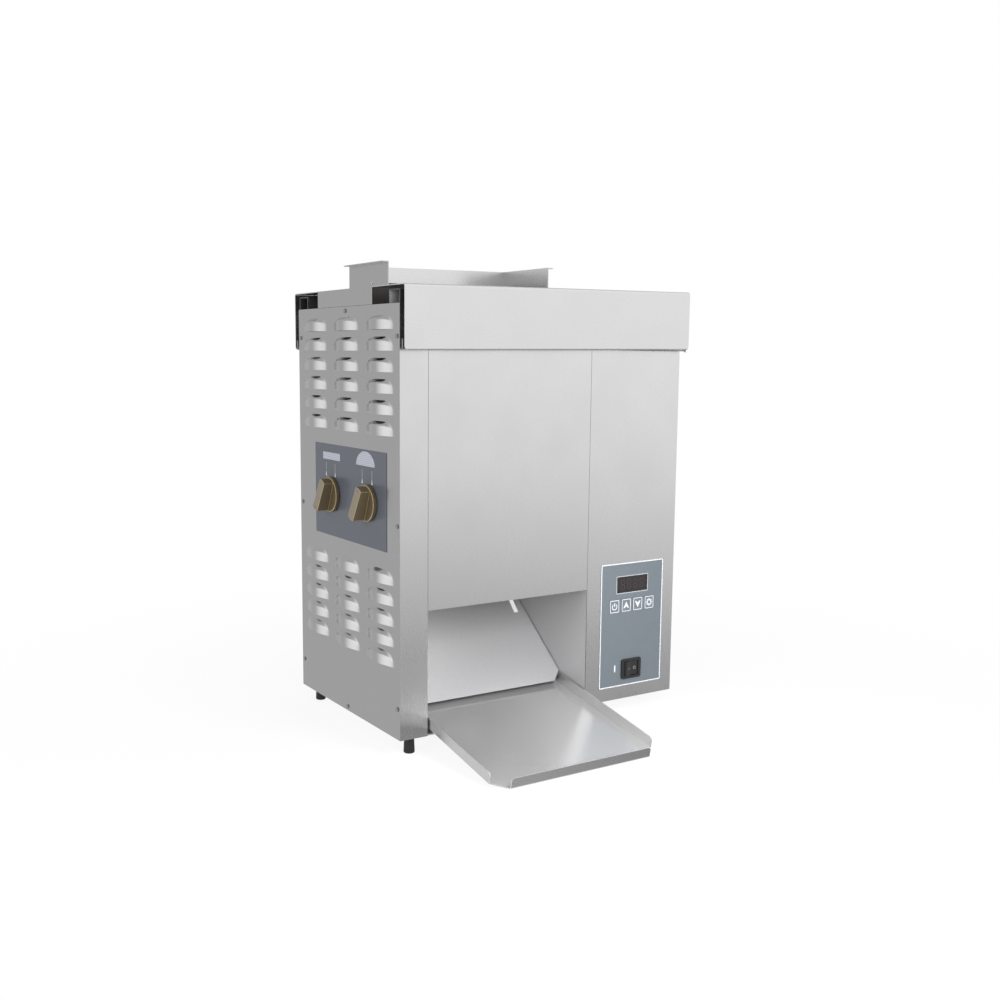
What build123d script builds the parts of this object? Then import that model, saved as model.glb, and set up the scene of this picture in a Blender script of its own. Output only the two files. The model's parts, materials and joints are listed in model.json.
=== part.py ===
from build123d import *
import math
import os

os.makedirs("parts", exist_ok=True)

# A vertical bun toaster. Halved buns drop through two slots in the top, crowns in front of a
# hot platen and heels behind it. Two belt conveyors press them to the platen and carry them
# down, and they slide over a chute onto a tray at the front.
#
# All sizes are in millimetres. Lengths are measured from the cabinet's lower left front
# corner: x to the right, y to the back, z up. Each section gives its own driving sizes first
# and works the rest out from them.

# ---------------------------------------------------------------------------------------
# Driving sizes of the cabinet
# ---------------------------------------------------------------------------------------
cabinet_width = 400.0
cabinet_depth = 258.0
cabinet_height = 484.5
skin = 1.0                   # outer sheet
wall = 1.5                   # inner walls and base
fold = 13.0                  # folded-in edges of the outer sheets
post_width = 35.6            # left front post
compartment_width = 138.4    # drive and controls, behind the control fascia
opening_height = 145.1       # free height under the front panel
panel_top_gap = 3.0
panel_fold = 9.0
panel_lift = 12.0
peg_radius = 2.5
peg_length = 5.0
peg_gap = 0.2
peg_rise = 54.9              # lower pegs over the front opening
peg_drop = 64.5              # upper pegs under the top
tab_width = 5.0
tab_reach = 12.0
tab_drop = 9.0
base_fold = 14.0             # upturned side edges of the base
seam = 0.4                   # gap along the front panel

foot_height = 20.0
foot_radius = 6.5
foot_neck_radius = 5.7
foot_inset = 13.0
right_foot_setback = 62.0    # the right feet stand well in from the front and the back
foot_stud_radius = 3.0
foot_stud_length = 8.0

screw_radius = 1.5
screw_head_radius = 2.6
screw_head_height = 0.9
screw_length = 6.0
screw_inset = 6.0            # from the front and rear edges of a side
screw_end_inset = 5.0        # from the top and bottom edges
screw_pitch = 207.0          # up and down from the middle

louvre_length = 67.0
louvre_height = 13.0
louvre_depth = 7.0
louvre_columns = 3
louvre_margin = 13.5         # from the first and last columns to the side's edges
louvre_row_pitch = 23.3
upper_louvre_rows = 6
lower_louvre_rows = 5
upper_louvre_drop = 27.5     # lower edge of the highest upper row, under the top
lower_louvre_top = 174.2     # lower edge of the highest lower row

# Loose cap on top
cap_gap = 10.0               # in front of and behind the cabinet
cap_overhang = 4.0           # past the right side
cap_rise = 20.1              # its top over the side panels
cap_flange = 70.4
cap_radius = 3.0
cap_hem_depth = 5.0
cap_hem_height = 11.5
cap_hem_radius = 1.5
cap_end_depth = 30.0         # its right end stops above the louvres
rail_width = 24.0
rail_rise = 15.0
rail_sheet = 1.2
pad_radius = 7.0
pad_gap = 0.3

# Feeder on the cap
feeder_sheet = 1.2
feeder_length = 214.0
slot_front = 62.6            # the feed opening, front to back
slot_back = 202.0
guide_front = 25.5
guide_back = 117.5
guide_height = 25.4          # above the cap
guide_lip = 7.0
guide_foot = 12.0
guide_relief_radius = 2.0
guide_drop = 18.0            # the guides under the feed opening reach this far down
feeder_gap = 0.6

# Chute and tray
chute_angle = 40.0
chute_front = 42.0
chute_front_height = 23.3
chute_back = 190.0
chute_sheet = 1.2
chute_notch = 14.0           # cut corners that clear the tray's edges
tray_sheet = 1.2
tray_gap = 1.7               # to the walls on each side
tray_edge = 12.0
tray_length = 198.4          # from its hinge rod to the front lip
tray_corner = 16.5
tray_edge_back = 10.0        # the side edges end short of the chute
tray_rod_radius = 2.5
tray_rod_back = 57.0
tray_rod_height = 15.5
tray_clearance = 0.3         # its front edge over the counter

# Platen between the lanes
lane_middle = 118.0
platen_thickness = 14.0
platen_bottom = 190.0
platen_margin = 10.0         # to the walls
sheet_gap = 0.1
release_thickness = 0.5
ridge_height = 36.0
ridge_half_width = 11.0
heater_radius = 4.0
heater_count = 4
heater_pitch = 58.0
heater_tail = 6.0

# Conveyors
crown_axis = 66.0
heel_axis = 162.5
drive_height = 178.0
idler_clearance = 11.2       # belts to the guides over them
roller_radius = 12.0
belt_gap = 0.3
belt_thickness = 2.0
roller_margin = 8.4
belt_margin = 12.0
carrier_gap = 2.4            # carrier plate to inner wall
carrier_thickness = 2.0
carrier_half_width = 13.0
tie_radius = 4.0
tie_below_knob = 33.0
tie_above_knob = 49.0
tie_below_idler = 48.0
drive_shaft_radius = 6.0
idler_shaft_radius = 5.0
bush_wall = 3.0
bush_rim = 3.0
bush_rim_thickness = 2.1
running_gap = 0.05
pressure_gap = 0.5
pressure_sheet = 1.5
pressure_rise = 27.0         # over the drive shafts
pressure_drop = 25.0         # under the idler shafts
rib_count = 3
rib_sheet = 1.5

# Spacing knobs
crown_knob_back = 71.5
heel_knob_back = 165.5
knob_height = 261.0
knob_skirt_radius = 22.3
knob_skirt = 5.0
knob_grip_radius = 20.3
knob_grip_width = 14.0
knob_reach = 20.0            # from the label to the knob's face
knob_tilt = 22.0
knob_edge = 1.5
knob_gap = 0.6
knob_shaft_radius = 4.0
knob_shaft_hold = 14.0
cam_radius = 8.0
cam_throw = 2.5
cam_gap = 0.3
cam_turn = 60.0              # each way from rest
cam_pad = 5.0

# Labels and controls
label_thickness = 0.5
label_front_margin = 41.9    # round the knobs' middles
label_back_margin = 46.5
label_low_margin = 51.1
label_high_margin = 60.6
control_left_margin = 21.2   # to the edges of the control fascia
control_right_margin = 18.0
control_bottom = 16.6
control_top = 173.2
display_width = 49.0
display_height = 20.4
display_middle_height = 145.7
display_depth = 1.6
key_count = 4
key_names = ("key_power", "key_up", "key_down", "key_settings")
key_pitch = 18.6
key_width = 14.4
key_height = 15.8
key_middle_height = 119.4
key_gap = 0.3
key_proud = 0.4
key_travel = 0.8
key_flange = 0.9
key_flange_thickness = 0.8
key_stem_radius = 2.5
rocker_middle_height = 37.9
rocker_width = 31.0
rocker_height = 25.2
rocker_bezel = 2.2
rocker_body_width = 27.4
rocker_body_height = 21.8
rocker_body_depth = 22.0
rocker_pocket = 14.0
rocker_window = 22.4
rocker_window_height = 18.8
rocker_gap = 0.35
rocker_tilt = 10.0
rocker_pin_radius = 1.4
rocker_face = 2.5            # pivot to the paddle's ridge
rocker_back = 7.0

board_gap = 12.0             # behind the fascia
board_thickness = 1.6
board_left_gap = 20.9        # to the inner wall
board_right_gap = 12.0       # to the right side
board_bottom = 56.0
board_top = 168.0
board_post_radius = 3.0
board_inset = 6.0
tact_width = 6.0
tact_height = 3.5
part_gap = 0.5               # window to display module
relay_width = 16.0
relay_height = 20.0
relay_depth = 15.0
relay_count = 3

# Drive train
gear_teeth = 48
pinion_teeth = 16
gear_width = 8.0
gear_offset = 5.0            # from the right inner wall
backlash = 0.5
gear_root = 1.2              # in modules, under the pitch circle
gear_tip = 0.8               # in modules, over the pitch circle
pressure_angle = 20.0
hub_radius = 11.0
bracket_offset = 17.0
bracket_sheet = 2.5
bracket_half_width = 40.0
bracket_half_height = 30.0
bracket_rise = 18.0          # its middle over the pinion
standoff_radius = 4.0
standoff_inset = 7.0
gearbox_size = 60.0
gearbox_depth = 30.0
motor_radius = 28.0
motor_length = 54.0
motor_shaft_radius = 4.0
motor_shaft_hold = 20.0

# Fan and power inlet on the rear panel
fan_size = 92.0
fan_depth = 25.0
fan_bore = 43.0
fan_height = 330.0
fan_hub_radius = 17.0
fan_blades = 7
fan_blade_chord = 18.0
fan_blade_sheet = 1.5
fan_blade_pitch = 35.0
fan_tip_gap = 2.0
fan_pin_radius = 2.0
fan_boss_radius = 14.0
fan_end_gap = 0.5
strut_width = 5.0
strut_thickness = 2.5
guard_wire = 1.0
guard_rings = 4
guard_eye_radius = 4.0
inlet_height = 60.0
inlet_width = 50.0
inlet_tall = 32.0
inlet_body_width = 38.0
inlet_body_tall = 26.0
inlet_depth = 30.0
inlet_cup_depth = 18.0
inlet_cup_wall = 2.5
inlet_rim = 3.0
blade_width = 6.0
blade_thickness = 2.0
blade_pitch = 9.0

shield_sheet = 1.0
front_shield_back = 34.0
rear_shield_back = 212.0
shield_bottom = 175.0
shield_drop = 22.5           # under the top

# ---------------------------------------------------------------------------------------
# Derived places
# ---------------------------------------------------------------------------------------
opening_right = cabinet_width - compartment_width
opening_width = opening_right - post_width
lane_left = post_width
inner_back = cabinet_depth - skin
middle_depth = cabinet_depth / 2
cap_top = cabinet_height + cap_rise
rail_top = cabinet_height + rail_rise
control_left = opening_right + control_left_margin
control_right = cabinet_width - control_right_margin
control_middle = (control_left + control_right) / 2
compartment_middle = (opening_right + wall + cabinet_width - skin) / 2
belt_radius = roller_radius + belt_gap + belt_thickness
guide_top = cabinet_height - skin
guide_low = guide_top - guide_drop
idler_height = guide_low - idler_clearance - belt_radius
platen_top = idler_height
gear_module = (heel_axis - crown_axis) / gear_teeth
gear_radius = (heel_axis - crown_axis) / 2
pinion_radius = gear_module * pinion_teeth / 2
pinion_height = drive_height + gear_radius + pinion_radius
gear_left = opening_right + wall + gear_offset
bracket_left = opening_right + wall + bracket_offset
bush_radius = drive_shaft_radius + running_gap + bush_wall

# The tray slopes from its rod down to the counter
tray_top_offset = tray_rod_radius + running_gap + tray_sheet
tray_under_offset = tray_rod_radius + running_gap
tray_reach_line = math.hypot(tray_length, tray_under_offset)
tray_drop = foot_height + tray_rod_height - tray_clearance
tray_slope = math.asin(tray_drop / tray_reach_line) + math.atan2(tray_under_offset, tray_length)
slope_sin = math.sin(tray_slope)
slope_cos = math.cos(tray_slope)
tray_reach = tray_length * slope_cos + (tray_top_offset + tray_edge) * slope_sin - tray_rod_back

# The part's origin is under the middle of its box, on the counter
knob_stand = label_thickness + knob_gap + knob_reach
total_width = knob_stand + cabinet_width + louvre_depth
total_depth = tray_reach + cabinet_depth + cap_gap + skin
corner_x = knob_stand - total_width / 2
corner_y = tray_reach - total_depth / 2
corner_z = foot_height


# ---------------------------------------------------------------------------------------
# Ways to place things
# ---------------------------------------------------------------------------------------
def at(x, y, z):
    """The point x, y, z from the cabinet's lower left front corner."""
    return (corner_x + x, corner_y + y, corner_z + z)


def side_plane(x, y=0.0, z=0.0):
    """A plane that looks to the right, with its own y to the back and z up."""
    return Plane(origin=at(x, y, z), x_dir=(0, 1, 0), z_dir=(1, 0, 0))


def front_plane(y, x=0.0, z=0.0):
    """A plane that looks to the front, with x to the right and z up."""
    return Plane(origin=at(x, y, z), x_dir=(1, 0, 0), z_dir=(0, -1, 0))


def level_plane(z, x=0.0, y=0.0):
    """A plane that looks up, with x to the right and y to the back."""
    return Plane(origin=at(x, y, z), x_dir=(1, 0, 0), z_dir=(0, 0, 1))


def block(x, y, z, mode=Mode.ADD):
    """A block between a low and a high limit on each axis."""
    with Locations(at(sum(x) / 2, sum(y) / 2, sum(z) / 2)):
        Box(x[1] - x[0], y[1] - y[0], z[1] - z[0], mode=mode)


def rod_x(x, y, z, radius, mode=Mode.ADD):
    """A round rod to the right, on the line y, z."""
    with Locations(at(sum(x) / 2, y, z)):
        Cylinder(radius, x[1] - x[0], rotation=(0, 90, 0), mode=mode)


def rod_y(x, y, z, radius, mode=Mode.ADD):
    """A round rod to the back, on the line x, z."""
    with Locations(at(x, sum(y) / 2, z)):
        Cylinder(radius, y[1] - y[0], rotation=(90, 0, 0), mode=mode)


def rod_z(x, y, z, radius, mode=Mode.ADD):
    """An upright round rod, on the line x, y."""
    with Locations(at(x, y, sum(z) / 2)):
        Cylinder(radius, z[1] - z[0], mode=mode)


def keep(piece, name):
    """Label a finished piece and write it."""
    piece.part.label = name
    export_step(piece.part, f"parts/{name}.step")


# ---------------------------------------------------------------------------------------
# Fixing screws of the side panels
# ---------------------------------------------------------------------------------------
def side_screw_places():
    """The y and z of the screws in a side panel."""
    middle = cabinet_height / 2
    edges = [
        (y, middle + row * screw_pitch)
        for y in (screw_inset, cabinet_depth - screw_inset)
        for row in (-1, 0, 1)
    ]
    ends = [(middle_depth, screw_end_inset), (middle_depth, cabinet_height - screw_end_inset)]
    return edges + ends


def side_screw_holes():
    """Holes right through both sides for the panel screws."""
    for y, z in side_screw_places():
        rod_x((-skin, cabinet_width + skin), y, z, screw_radius, mode=Mode.SUBTRACT)


with BuildPart() as panel_screws:
    for y, z in side_screw_places():
        rod_x((-screw_head_height, 0), y, z, screw_head_radius)
        rod_x((0, screw_length), y, z, screw_radius)
        rod_x((cabinet_width, cabinet_width + screw_head_height), y, z, screw_head_radius)
        rod_x((cabinet_width - screw_length, cabinet_width), y, z, screw_radius)
keep(panel_screws, "panel_screws")

# ---------------------------------------------------------------------------------------
# Base and feet
# ---------------------------------------------------------------------------------------
foot_left = foot_inset + screw_inset
foot_places = (
    (foot_left, foot_inset),
    (foot_left, cabinet_depth - foot_inset),
    (cabinet_width - foot_left, right_foot_setback),
    (cabinet_width - foot_left, cabinet_depth - right_foot_setback),
)

with BuildPart() as base_pan:
    block((skin, cabinet_width - skin), (skin, inner_back), (0, wall))
    fold_ends = (skin + fold + skin, inner_back - fold - skin)
    for x in ((skin, skin + wall), (cabinet_width - skin - wall, cabinet_width - skin)):
        block(x, fold_ends, (wall, base_fold))
    for x, y in foot_places:
        rod_z(x, y, (-wall, 2 * wall), foot_stud_radius, mode=Mode.SUBTRACT)
    side_screw_holes()
keep(base_pan, "base_pan")

with BuildPart() as feet:
    for x, y in foot_places:
        with BuildSketch(front_plane(y, x)):
            with BuildLine():
                Polyline(
                    (0, -foot_height),
                    (foot_radius - 1, -foot_height),
                    (foot_radius, 1 - foot_height),
                    (foot_neck_radius, 0),
                    (foot_stud_radius, 0),
                    (foot_stud_radius, foot_stud_length),
                    (0, foot_stud_length),
                    close=True,
                )
            make_face()
        revolve(axis=Axis(at(x, y, 0), (0, 0, 1)))
keep(feet, "feet")


# ---------------------------------------------------------------------------------------
# Louvred side panels
# ---------------------------------------------------------------------------------------
def louvre_places():
    """The y of each louvre's middle and the z of its open lower edge."""
    highest = cabinet_height - upper_louvre_drop
    rows = [highest - i * louvre_row_pitch for i in range(upper_louvre_rows)]
    rows += [lower_louvre_top - i * louvre_row_pitch for i in range(lower_louvre_rows)]
    middle = (louvre_columns - 1) / 2
    pitch = (cabinet_depth - 2 * louvre_margin - louvre_length) / (louvre_columns - 1)
    columns = [middle_depth + (i - middle) * pitch for i in range(louvre_columns)]
    return [(y, z) for z in rows for y in columns]


def louvre_bump(shrink):
    """A long bump with round ends, open below, pressed out of a sheet at x = 0 towards -x.

    The bump is a capsule whose middle line lies inside the cabinet. shrink makes the inner
    bump, which hollows the outer one.
    """
    bump_radius = (louvre_height**2 + louvre_depth**2) / (2 * louvre_depth)
    inside = bump_radius - louvre_depth
    straight = louvre_length - 2 * louvre_height
    radius = bump_radius - shrink
    with BuildPart(mode=Mode.PRIVATE) as bump:
        with Locations((inside, 0, 0)):
            Cylinder(radius, straight, rotation=(90, 0, 0))
        with Locations((inside, -straight / 2, 0), (inside, straight / 2, 0)):
            Sphere(radius)
        size = 4 * louvre_length
        with Locations((0, 0, -size / 2)):
            Box(size, size, size, mode=Mode.SUBTRACT)
        with Locations((size / 2 + skin - shrink, 0, 0)):
            Box(size, size, size, mode=Mode.SUBTRACT)
    return bump.part


def side_panel(name, outer_x, outward):
    """A flat side with its louvres. outward is -1 on the left and 1 on the right."""
    limits = sorted((outer_x, outer_x - outward * skin))
    turned = 0 if outward < 0 else 180
    outer, inner = louvre_bump(0), louvre_bump(skin)
    spots = [Location(at(outer_x, y, z), (0, 0, turned)) for y, z in louvre_places()]
    with BuildPart() as panel:
        block(limits, (0, cabinet_depth), (0, cabinet_height))
        with Locations(*spots):
            add(outer)
        with Locations(*spots):
            add(inner, mode=Mode.SUBTRACT)
        if outward < 0:
            for y in (crown_knob_back, heel_knob_back):
                rod_x((-skin, 2 * skin), y, knob_height, knob_shaft_radius + skin, mode=Mode.SUBTRACT)
        side_screw_holes()
    keep(panel, name)


side_panel("left_side_panel", 0, -1)
side_panel("right_side_panel", cabinet_width, 1)

# ---------------------------------------------------------------------------------------
# Front posts, rear panel and inner walls
# ---------------------------------------------------------------------------------------
full_height = (0, cabinet_height)
front_fold = (skin, skin + fold)
rear_fold = (inner_back - fold, inner_back)
left_wall = (post_width - wall, post_width)
right_wall = (opening_right, opening_right + wall)

with BuildPart() as left_front_post:
    block((skin, post_width), (0, skin), full_height)
    block((skin, 2 * skin), front_fold, (wall, cabinet_height))
    block((left_wall[0] - skin, left_wall[0]), front_fold, (wall, cabinet_height))
    side_screw_holes()
keep(left_front_post, "left_front_post")


def key_middles():
    """The x of each key's middle."""
    middle = (key_count - 1) / 2
    return [control_middle + (i - middle) * key_pitch for i in range(key_count)]


def centred(middle, size):
    """The limits of a size centred on a middle."""
    return (middle - size / 2, middle + size / 2)


display_x = centred(control_middle, display_width)
display_z = centred(display_middle_height, display_height)
rocker_x = centred(control_middle, rocker_body_width)
rocker_z = centred(rocker_middle_height, rocker_body_height)
key_z = centred(key_middle_height, key_height)


def control_cutouts(y):
    """Cut the display, key and rocker openings through a sheet between the limits y."""
    block(display_x, y, display_z, mode=Mode.SUBTRACT)
    block(rocker_x, y, rocker_z, mode=Mode.SUBTRACT)
    for x in key_middles():
        opening = centred(key_middle_height, key_height + 2 * key_gap)
        block(centred(x, key_width + 2 * key_gap), y, opening, mode=Mode.SUBTRACT)


with BuildPart() as control_fascia:
    block((opening_right, cabinet_width - skin), (0, skin), full_height)
    block((cabinet_width - 2 * skin, cabinet_width - skin), front_fold, (wall, cabinet_height))
    block((right_wall[1], right_wall[1] + skin), front_fold, (wall, cabinet_height))
    control_cutouts((-skin, 2 * skin))
    side_screw_holes()
keep(control_fascia, "control_fascia")

inlet_body_x = centred(compartment_middle, inlet_body_width)
inlet_body_z = centred(inlet_height, inlet_body_tall)

with BuildPart() as rear_panel:
    block((skin, cabinet_width - skin), (inner_back, cabinet_depth), full_height)
    for x in ((skin, 2 * skin), (cabinet_width - 2 * skin, cabinet_width - skin)):
        block(x, rear_fold, (wall, cabinet_height))
    through_rear = (inner_back - skin, cabinet_depth + skin)
    rod_y(compartment_middle, through_rear, fan_height, fan_bore, mode=Mode.SUBTRACT)
    block(inlet_body_x, through_rear, inlet_body_z, mode=Mode.SUBTRACT)
    side_screw_holes()
keep(rear_panel, "rear_panel")

conveyor_axes = (crown_axis, heel_axis)
knob_places = (crown_knob_back, heel_knob_back)
bush_outer = knob_shaft_radius + running_gap + bush_wall
guide_span = (slot_front + skin, slot_back - skin)

peg_middle = skin + panel_fold / 2
peg_heights = (opening_height + peg_rise, cabinet_height - peg_drop)

with BuildPart() as left_inner_wall:
    block(left_wall, (skin, inner_back), (wall, cabinet_height))
    for z in peg_heights:
        rod_x((lane_left, lane_left + peg_length), peg_middle, z, peg_radius)
    for y in conveyor_axes:
        rod_x((0, 2 * post_width), y, drive_height, bush_radius, mode=Mode.SUBTRACT)
    for y in knob_places:
        rod_x((0, 2 * post_width), y, knob_height, bush_outer, mode=Mode.SUBTRACT)
    notch = (guide_low - skin, cabinet_height)
    block((0, 2 * post_width), (guide_span[0] - skin, guide_span[1] + skin), notch, mode=Mode.SUBTRACT)
keep(left_inner_wall, "left_inner_wall")

with BuildPart() as right_inner_wall:
    block(right_wall, (skin, inner_back), (wall, cabinet_height))
    for z in peg_heights:
        rod_x((opening_right - peg_length, opening_right), peg_middle, z, peg_radius)
    for y in conveyor_axes:
        rod_x((lane_left, cabinet_width), y, drive_height, bush_radius, mode=Mode.SUBTRACT)
keep(right_inner_wall, "right_inner_wall")

# Front and rear channels over the walls, joined by upright strips along both sides
with BuildPart() as top_frame:
    inside_x = (skin, cabinet_width - skin)
    for y in ((skin + seam, skin + rail_width), (inner_back - rail_width, inner_back)):
        block(inside_x, y, (cabinet_height, rail_top))
        under = (cabinet_height - skin, rail_top - rail_sheet)
        block((0, cabinet_width), (y[0] + rail_sheet, y[1] - rail_sheet), under, mode=Mode.SUBTRACT)
    strip_ends = (skin + fold, inner_back - fold)
    for x in ((skin, skin + wall), (cabinet_width - skin - wall, cabinet_width - skin)):
        block(x, strip_ends, (cabinet_height - base_fold, cabinet_height))
    side_screw_holes()
keep(top_frame, "top_frame")

with BuildPart() as cap_pads:
    pad_top = cap_top - skin - pad_gap
    for y in (skin + rail_width / 2, inner_back - rail_width / 2):
        for x in (post_width, opening_right + fold):
            rod_z(x, y, (rail_top, pad_top), pad_radius)
keep(cap_pads, "cap_pads")

# ---------------------------------------------------------------------------------------
# Guides, heat shields and chute
# ---------------------------------------------------------------------------------------
crown_guide_end = crown_axis + carrier_half_width
heel_guide_end = heel_axis - carrier_half_width / 2


def sloping_sheet(plane, start, end, thickness, width):
    """A flat sheet of a given width, seen edge on as a line from start to end in a plane."""
    with BuildSketch(plane) as edge_on:
        with BuildLine():
            Line(start, end)
        trace(line_width=thickness)
    extrude(edge_on.sketch, amount=width)


with BuildPart() as feed_guides:
    over_lanes = side_plane(lane_left)
    sloping_sheet(over_lanes, (slot_front, guide_top), (crown_guide_end, guide_low), skin, opening_width)
    sloping_sheet(over_lanes, (slot_back, guide_top), (heel_guide_end, guide_low), skin, opening_width)
    over_left = front_plane(guide_span[1] - skin)
    side_start, side_end = (wall + 1.5 * skin, guide_top), (lane_left - skin / 2, guide_low)
    sloping_sheet(over_left, side_start, side_end, skin, guide_span[1] - guide_span[0] - 2 * skin)
keep(feed_guides, "feed_guides")

shield_top = cabinet_height - shield_drop

with BuildPart() as heat_shields:
    for y in (front_shield_back, rear_shield_back):
        block((lane_left, opening_right), (y, y + shield_sheet), (shield_bottom, shield_top))
keep(heat_shields, "heat_shields")

chute_radians = math.radians(chute_angle)
chute_length = (chute_back - chute_front) / math.cos(chute_radians)
chute_plane = Plane(
    origin=at(lane_left, chute_front, chute_front_height),
    x_dir=(1, 0, 0),
    z_dir=(0, -math.sin(chute_radians), math.cos(chute_radians)),
)

with BuildPart() as chute:
    with BuildSketch(chute_plane):
        Polygon(
            (chute_notch, 0),
            (opening_width - chute_notch, 0),
            (opening_width, chute_notch),
            (opening_width, chute_length),
            (0, chute_length),
            (0, chute_notch),
            align=None,
        )
    extrude(amount=-chute_sheet)
    with BuildSketch(chute_plane):
        for x in (0, opening_width - chute_sheet):
            with Locations((x, chute_notch)):
                Rectangle(chute_sheet, chute_length - chute_notch, align=(Align.MIN, Align.MIN))
    extrude(amount=-base_fold)
keep(chute, "chute")

# ---------------------------------------------------------------------------------------
# Tray, hooked over a rod
# ---------------------------------------------------------------------------------------
tray_x = (lane_left + tray_gap, opening_right - tray_gap)
tray_width = tray_x[1] - tray_x[0]


def tray_level(rise):
    """A plane along the tray's slope, at a rise over its rod, with y up the slope."""
    origin = at(tray_x[0], tray_rod_back, tray_rod_height)
    return Plane(origin=origin, x_dir=(1, 0, 0), z_dir=(0, -slope_sin, slope_cos)).offset(rise)


def tray_end(x):
    """A plane across the tray's width, with x up the slope and y square to the floor."""
    origin = at(x, tray_rod_back, tray_rod_height)
    return Plane(origin=origin, x_dir=(0, slope_cos, slope_sin), z_dir=(1, 0, 0))


with BuildPart() as tray_rod:
    rod_x((lane_left, opening_right), tray_rod_back, tray_rod_height, tray_rod_radius)
keep(tray_rod, "tray_rod")

with BuildPart() as tray:
    with BuildSketch(tray_level(tray_under_offset)):
        Polygon(
            (0, 0),
            (tray_width, 0),
            (tray_width, tray_corner - tray_length),
            (tray_width - tray_corner, -tray_length),
            (tray_corner, -tray_length),
            (0, tray_corner - tray_length),
            align=None,
        )
    extrude(amount=tray_sheet)
    for x in (tray_x[0], tray_x[1] - tray_sheet):
        with BuildSketch(tray_end(x)):
            Polygon(
                (0, tray_under_offset),
                (-tray_edge_back, tray_top_offset + tray_edge),
                (tray_corner - tray_length, tray_top_offset + tray_edge),
                (tray_corner - tray_length, tray_under_offset),
                align=None,
            )
        extrude(amount=tray_sheet)
    with BuildSketch(tray_level(tray_under_offset)):
        with Locations((tray_corner, -tray_length)):
            Rectangle(tray_width - 2 * tray_corner, tray_sheet, align=(Align.MIN, Align.MIN))
    extrude(amount=tray_edge + tray_sheet)
    # The back edge is rolled over the rod
    with BuildSketch(tray_end(tray_x[0])):
        Circle(tray_top_offset)
        Circle(tray_under_offset, mode=Mode.SUBTRACT)
        with Locations((-tray_top_offset, 0)):
            Rectangle(2 * tray_top_offset, 2 * tray_top_offset, mode=Mode.SUBTRACT)
        with Locations((0, -tray_top_offset)):
            Rectangle(2 * tray_top_offset, tray_top_offset, mode=Mode.SUBTRACT)
    extrude(amount=tray_width)
keep(tray, "tray")

# ---------------------------------------------------------------------------------------
# Front panel, which lifts off pegs in the inner walls
# ---------------------------------------------------------------------------------------
panel_x = (lane_left + seam, opening_right - seam)
panel_z = (opening_height, cabinet_height - panel_top_gap)
tab_middle = (panel_x[0] + panel_x[1]) / 2

with BuildPart() as front_panel:
    block(panel_x, (0, skin), panel_z)
    block(panel_x, (skin, skin + panel_fold), (opening_height, opening_height + skin))
    fold_z = (opening_height, cabinet_height - panel_lift - panel_top_gap)
    for x in ((panel_x[0], panel_x[0] + skin), (panel_x[1] - skin, panel_x[1])):
        block(x, (skin, skin + panel_fold), fold_z)
    for z in peg_heights:
        slot_y = centred(peg_middle, 2 * (peg_radius + peg_gap))
        slot_z = (z - panel_lift - peg_radius - peg_gap, z + peg_radius + peg_gap)
        block(panel_x, slot_y, slot_z, mode=Mode.SUBTRACT)
        way_out = (slot_z[0], slot_z[0] + 2 * (peg_radius + peg_gap))
        block(panel_x, (peg_middle, 2 * panel_fold), way_out, mode=Mode.SUBTRACT)
    tab_start, tab_tip = (skin + tab_width, opening_height), (skin - tab_reach, opening_height - tab_drop)
    sloping_sheet(side_plane(tab_middle - tab_width / 2), tab_start, tab_tip, skin, tab_width)
keep(front_panel, "front_panel")

# ---------------------------------------------------------------------------------------
# Platen, its heaters and its release sheet
# ---------------------------------------------------------------------------------------
platen_x = (lane_left + platen_margin, opening_right - platen_margin)
platen_y = centred(lane_middle, platen_thickness)
heater_start = platen_x[0] + platen_margin


def heater_heights():
    """The z of each heating rod."""
    middle = (platen_bottom + platen_top) / 2
    return [middle + (i - (heater_count - 1) / 2) * heater_pitch for i in range(heater_count)]


with BuildPart() as platen:
    block(platen_x, platen_y, (platen_bottom, platen_top))
    for z in heater_heights():
        rod_x((heater_start, platen_x[1] + skin), lane_middle, z, heater_radius, mode=Mode.SUBTRACT)
keep(platen, "platen")

with BuildPart() as heater_elements:
    for z in heater_heights():
        rod_x((heater_start, platen_x[1] + heater_tail), lane_middle, z, heater_radius)
keep(heater_elements, "heater_elements")

with BuildPart() as release_sheet:
    reach = platen_thickness + 2 * sheet_gap
    block(platen_x, centred(lane_middle, reach + 2 * release_thickness),
          (platen_bottom + platen_margin, platen_top + sheet_gap + release_thickness))
    block((lane_left, opening_right), centred(lane_middle, reach),
          (platen_bottom, platen_top + sheet_gap), mode=Mode.SUBTRACT)
keep(release_sheet, "release_sheet")

with BuildPart() as platen_ridge:
    ridge_foot = platen_top + 2 * (sheet_gap + release_thickness)
    with BuildSketch(side_plane(lane_left)):
        with BuildLine():
            Polyline(
                (lane_middle - ridge_half_width, ridge_foot),
                (lane_middle, ridge_foot + ridge_height),
                (lane_middle + ridge_half_width, ridge_foot),
            )
        trace(line_width=skin)
    extrude(amount=opening_width)
keep(platen_ridge, "platen_ridge")

with BuildPart() as platen_brackets:
    tall = platen_thickness
    for x in ((lane_left, platen_x[0]), (platen_x[1], opening_right)):
        for z in (platen_bottom + tall, platen_top - 2 * tall):
            block(x, platen_y, (z, z + tall))
keep(platen_brackets, "platen_brackets")

with BuildPart() as high_limit_thermostat:
    sensor = (platen_x[1], platen_x[1] + heater_tail)
    rod_x(sensor, lane_middle, (platen_bottom + platen_top) / 2, platen_thickness / 2)
keep(high_limit_thermostat, "high_limit_thermostat")

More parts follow.
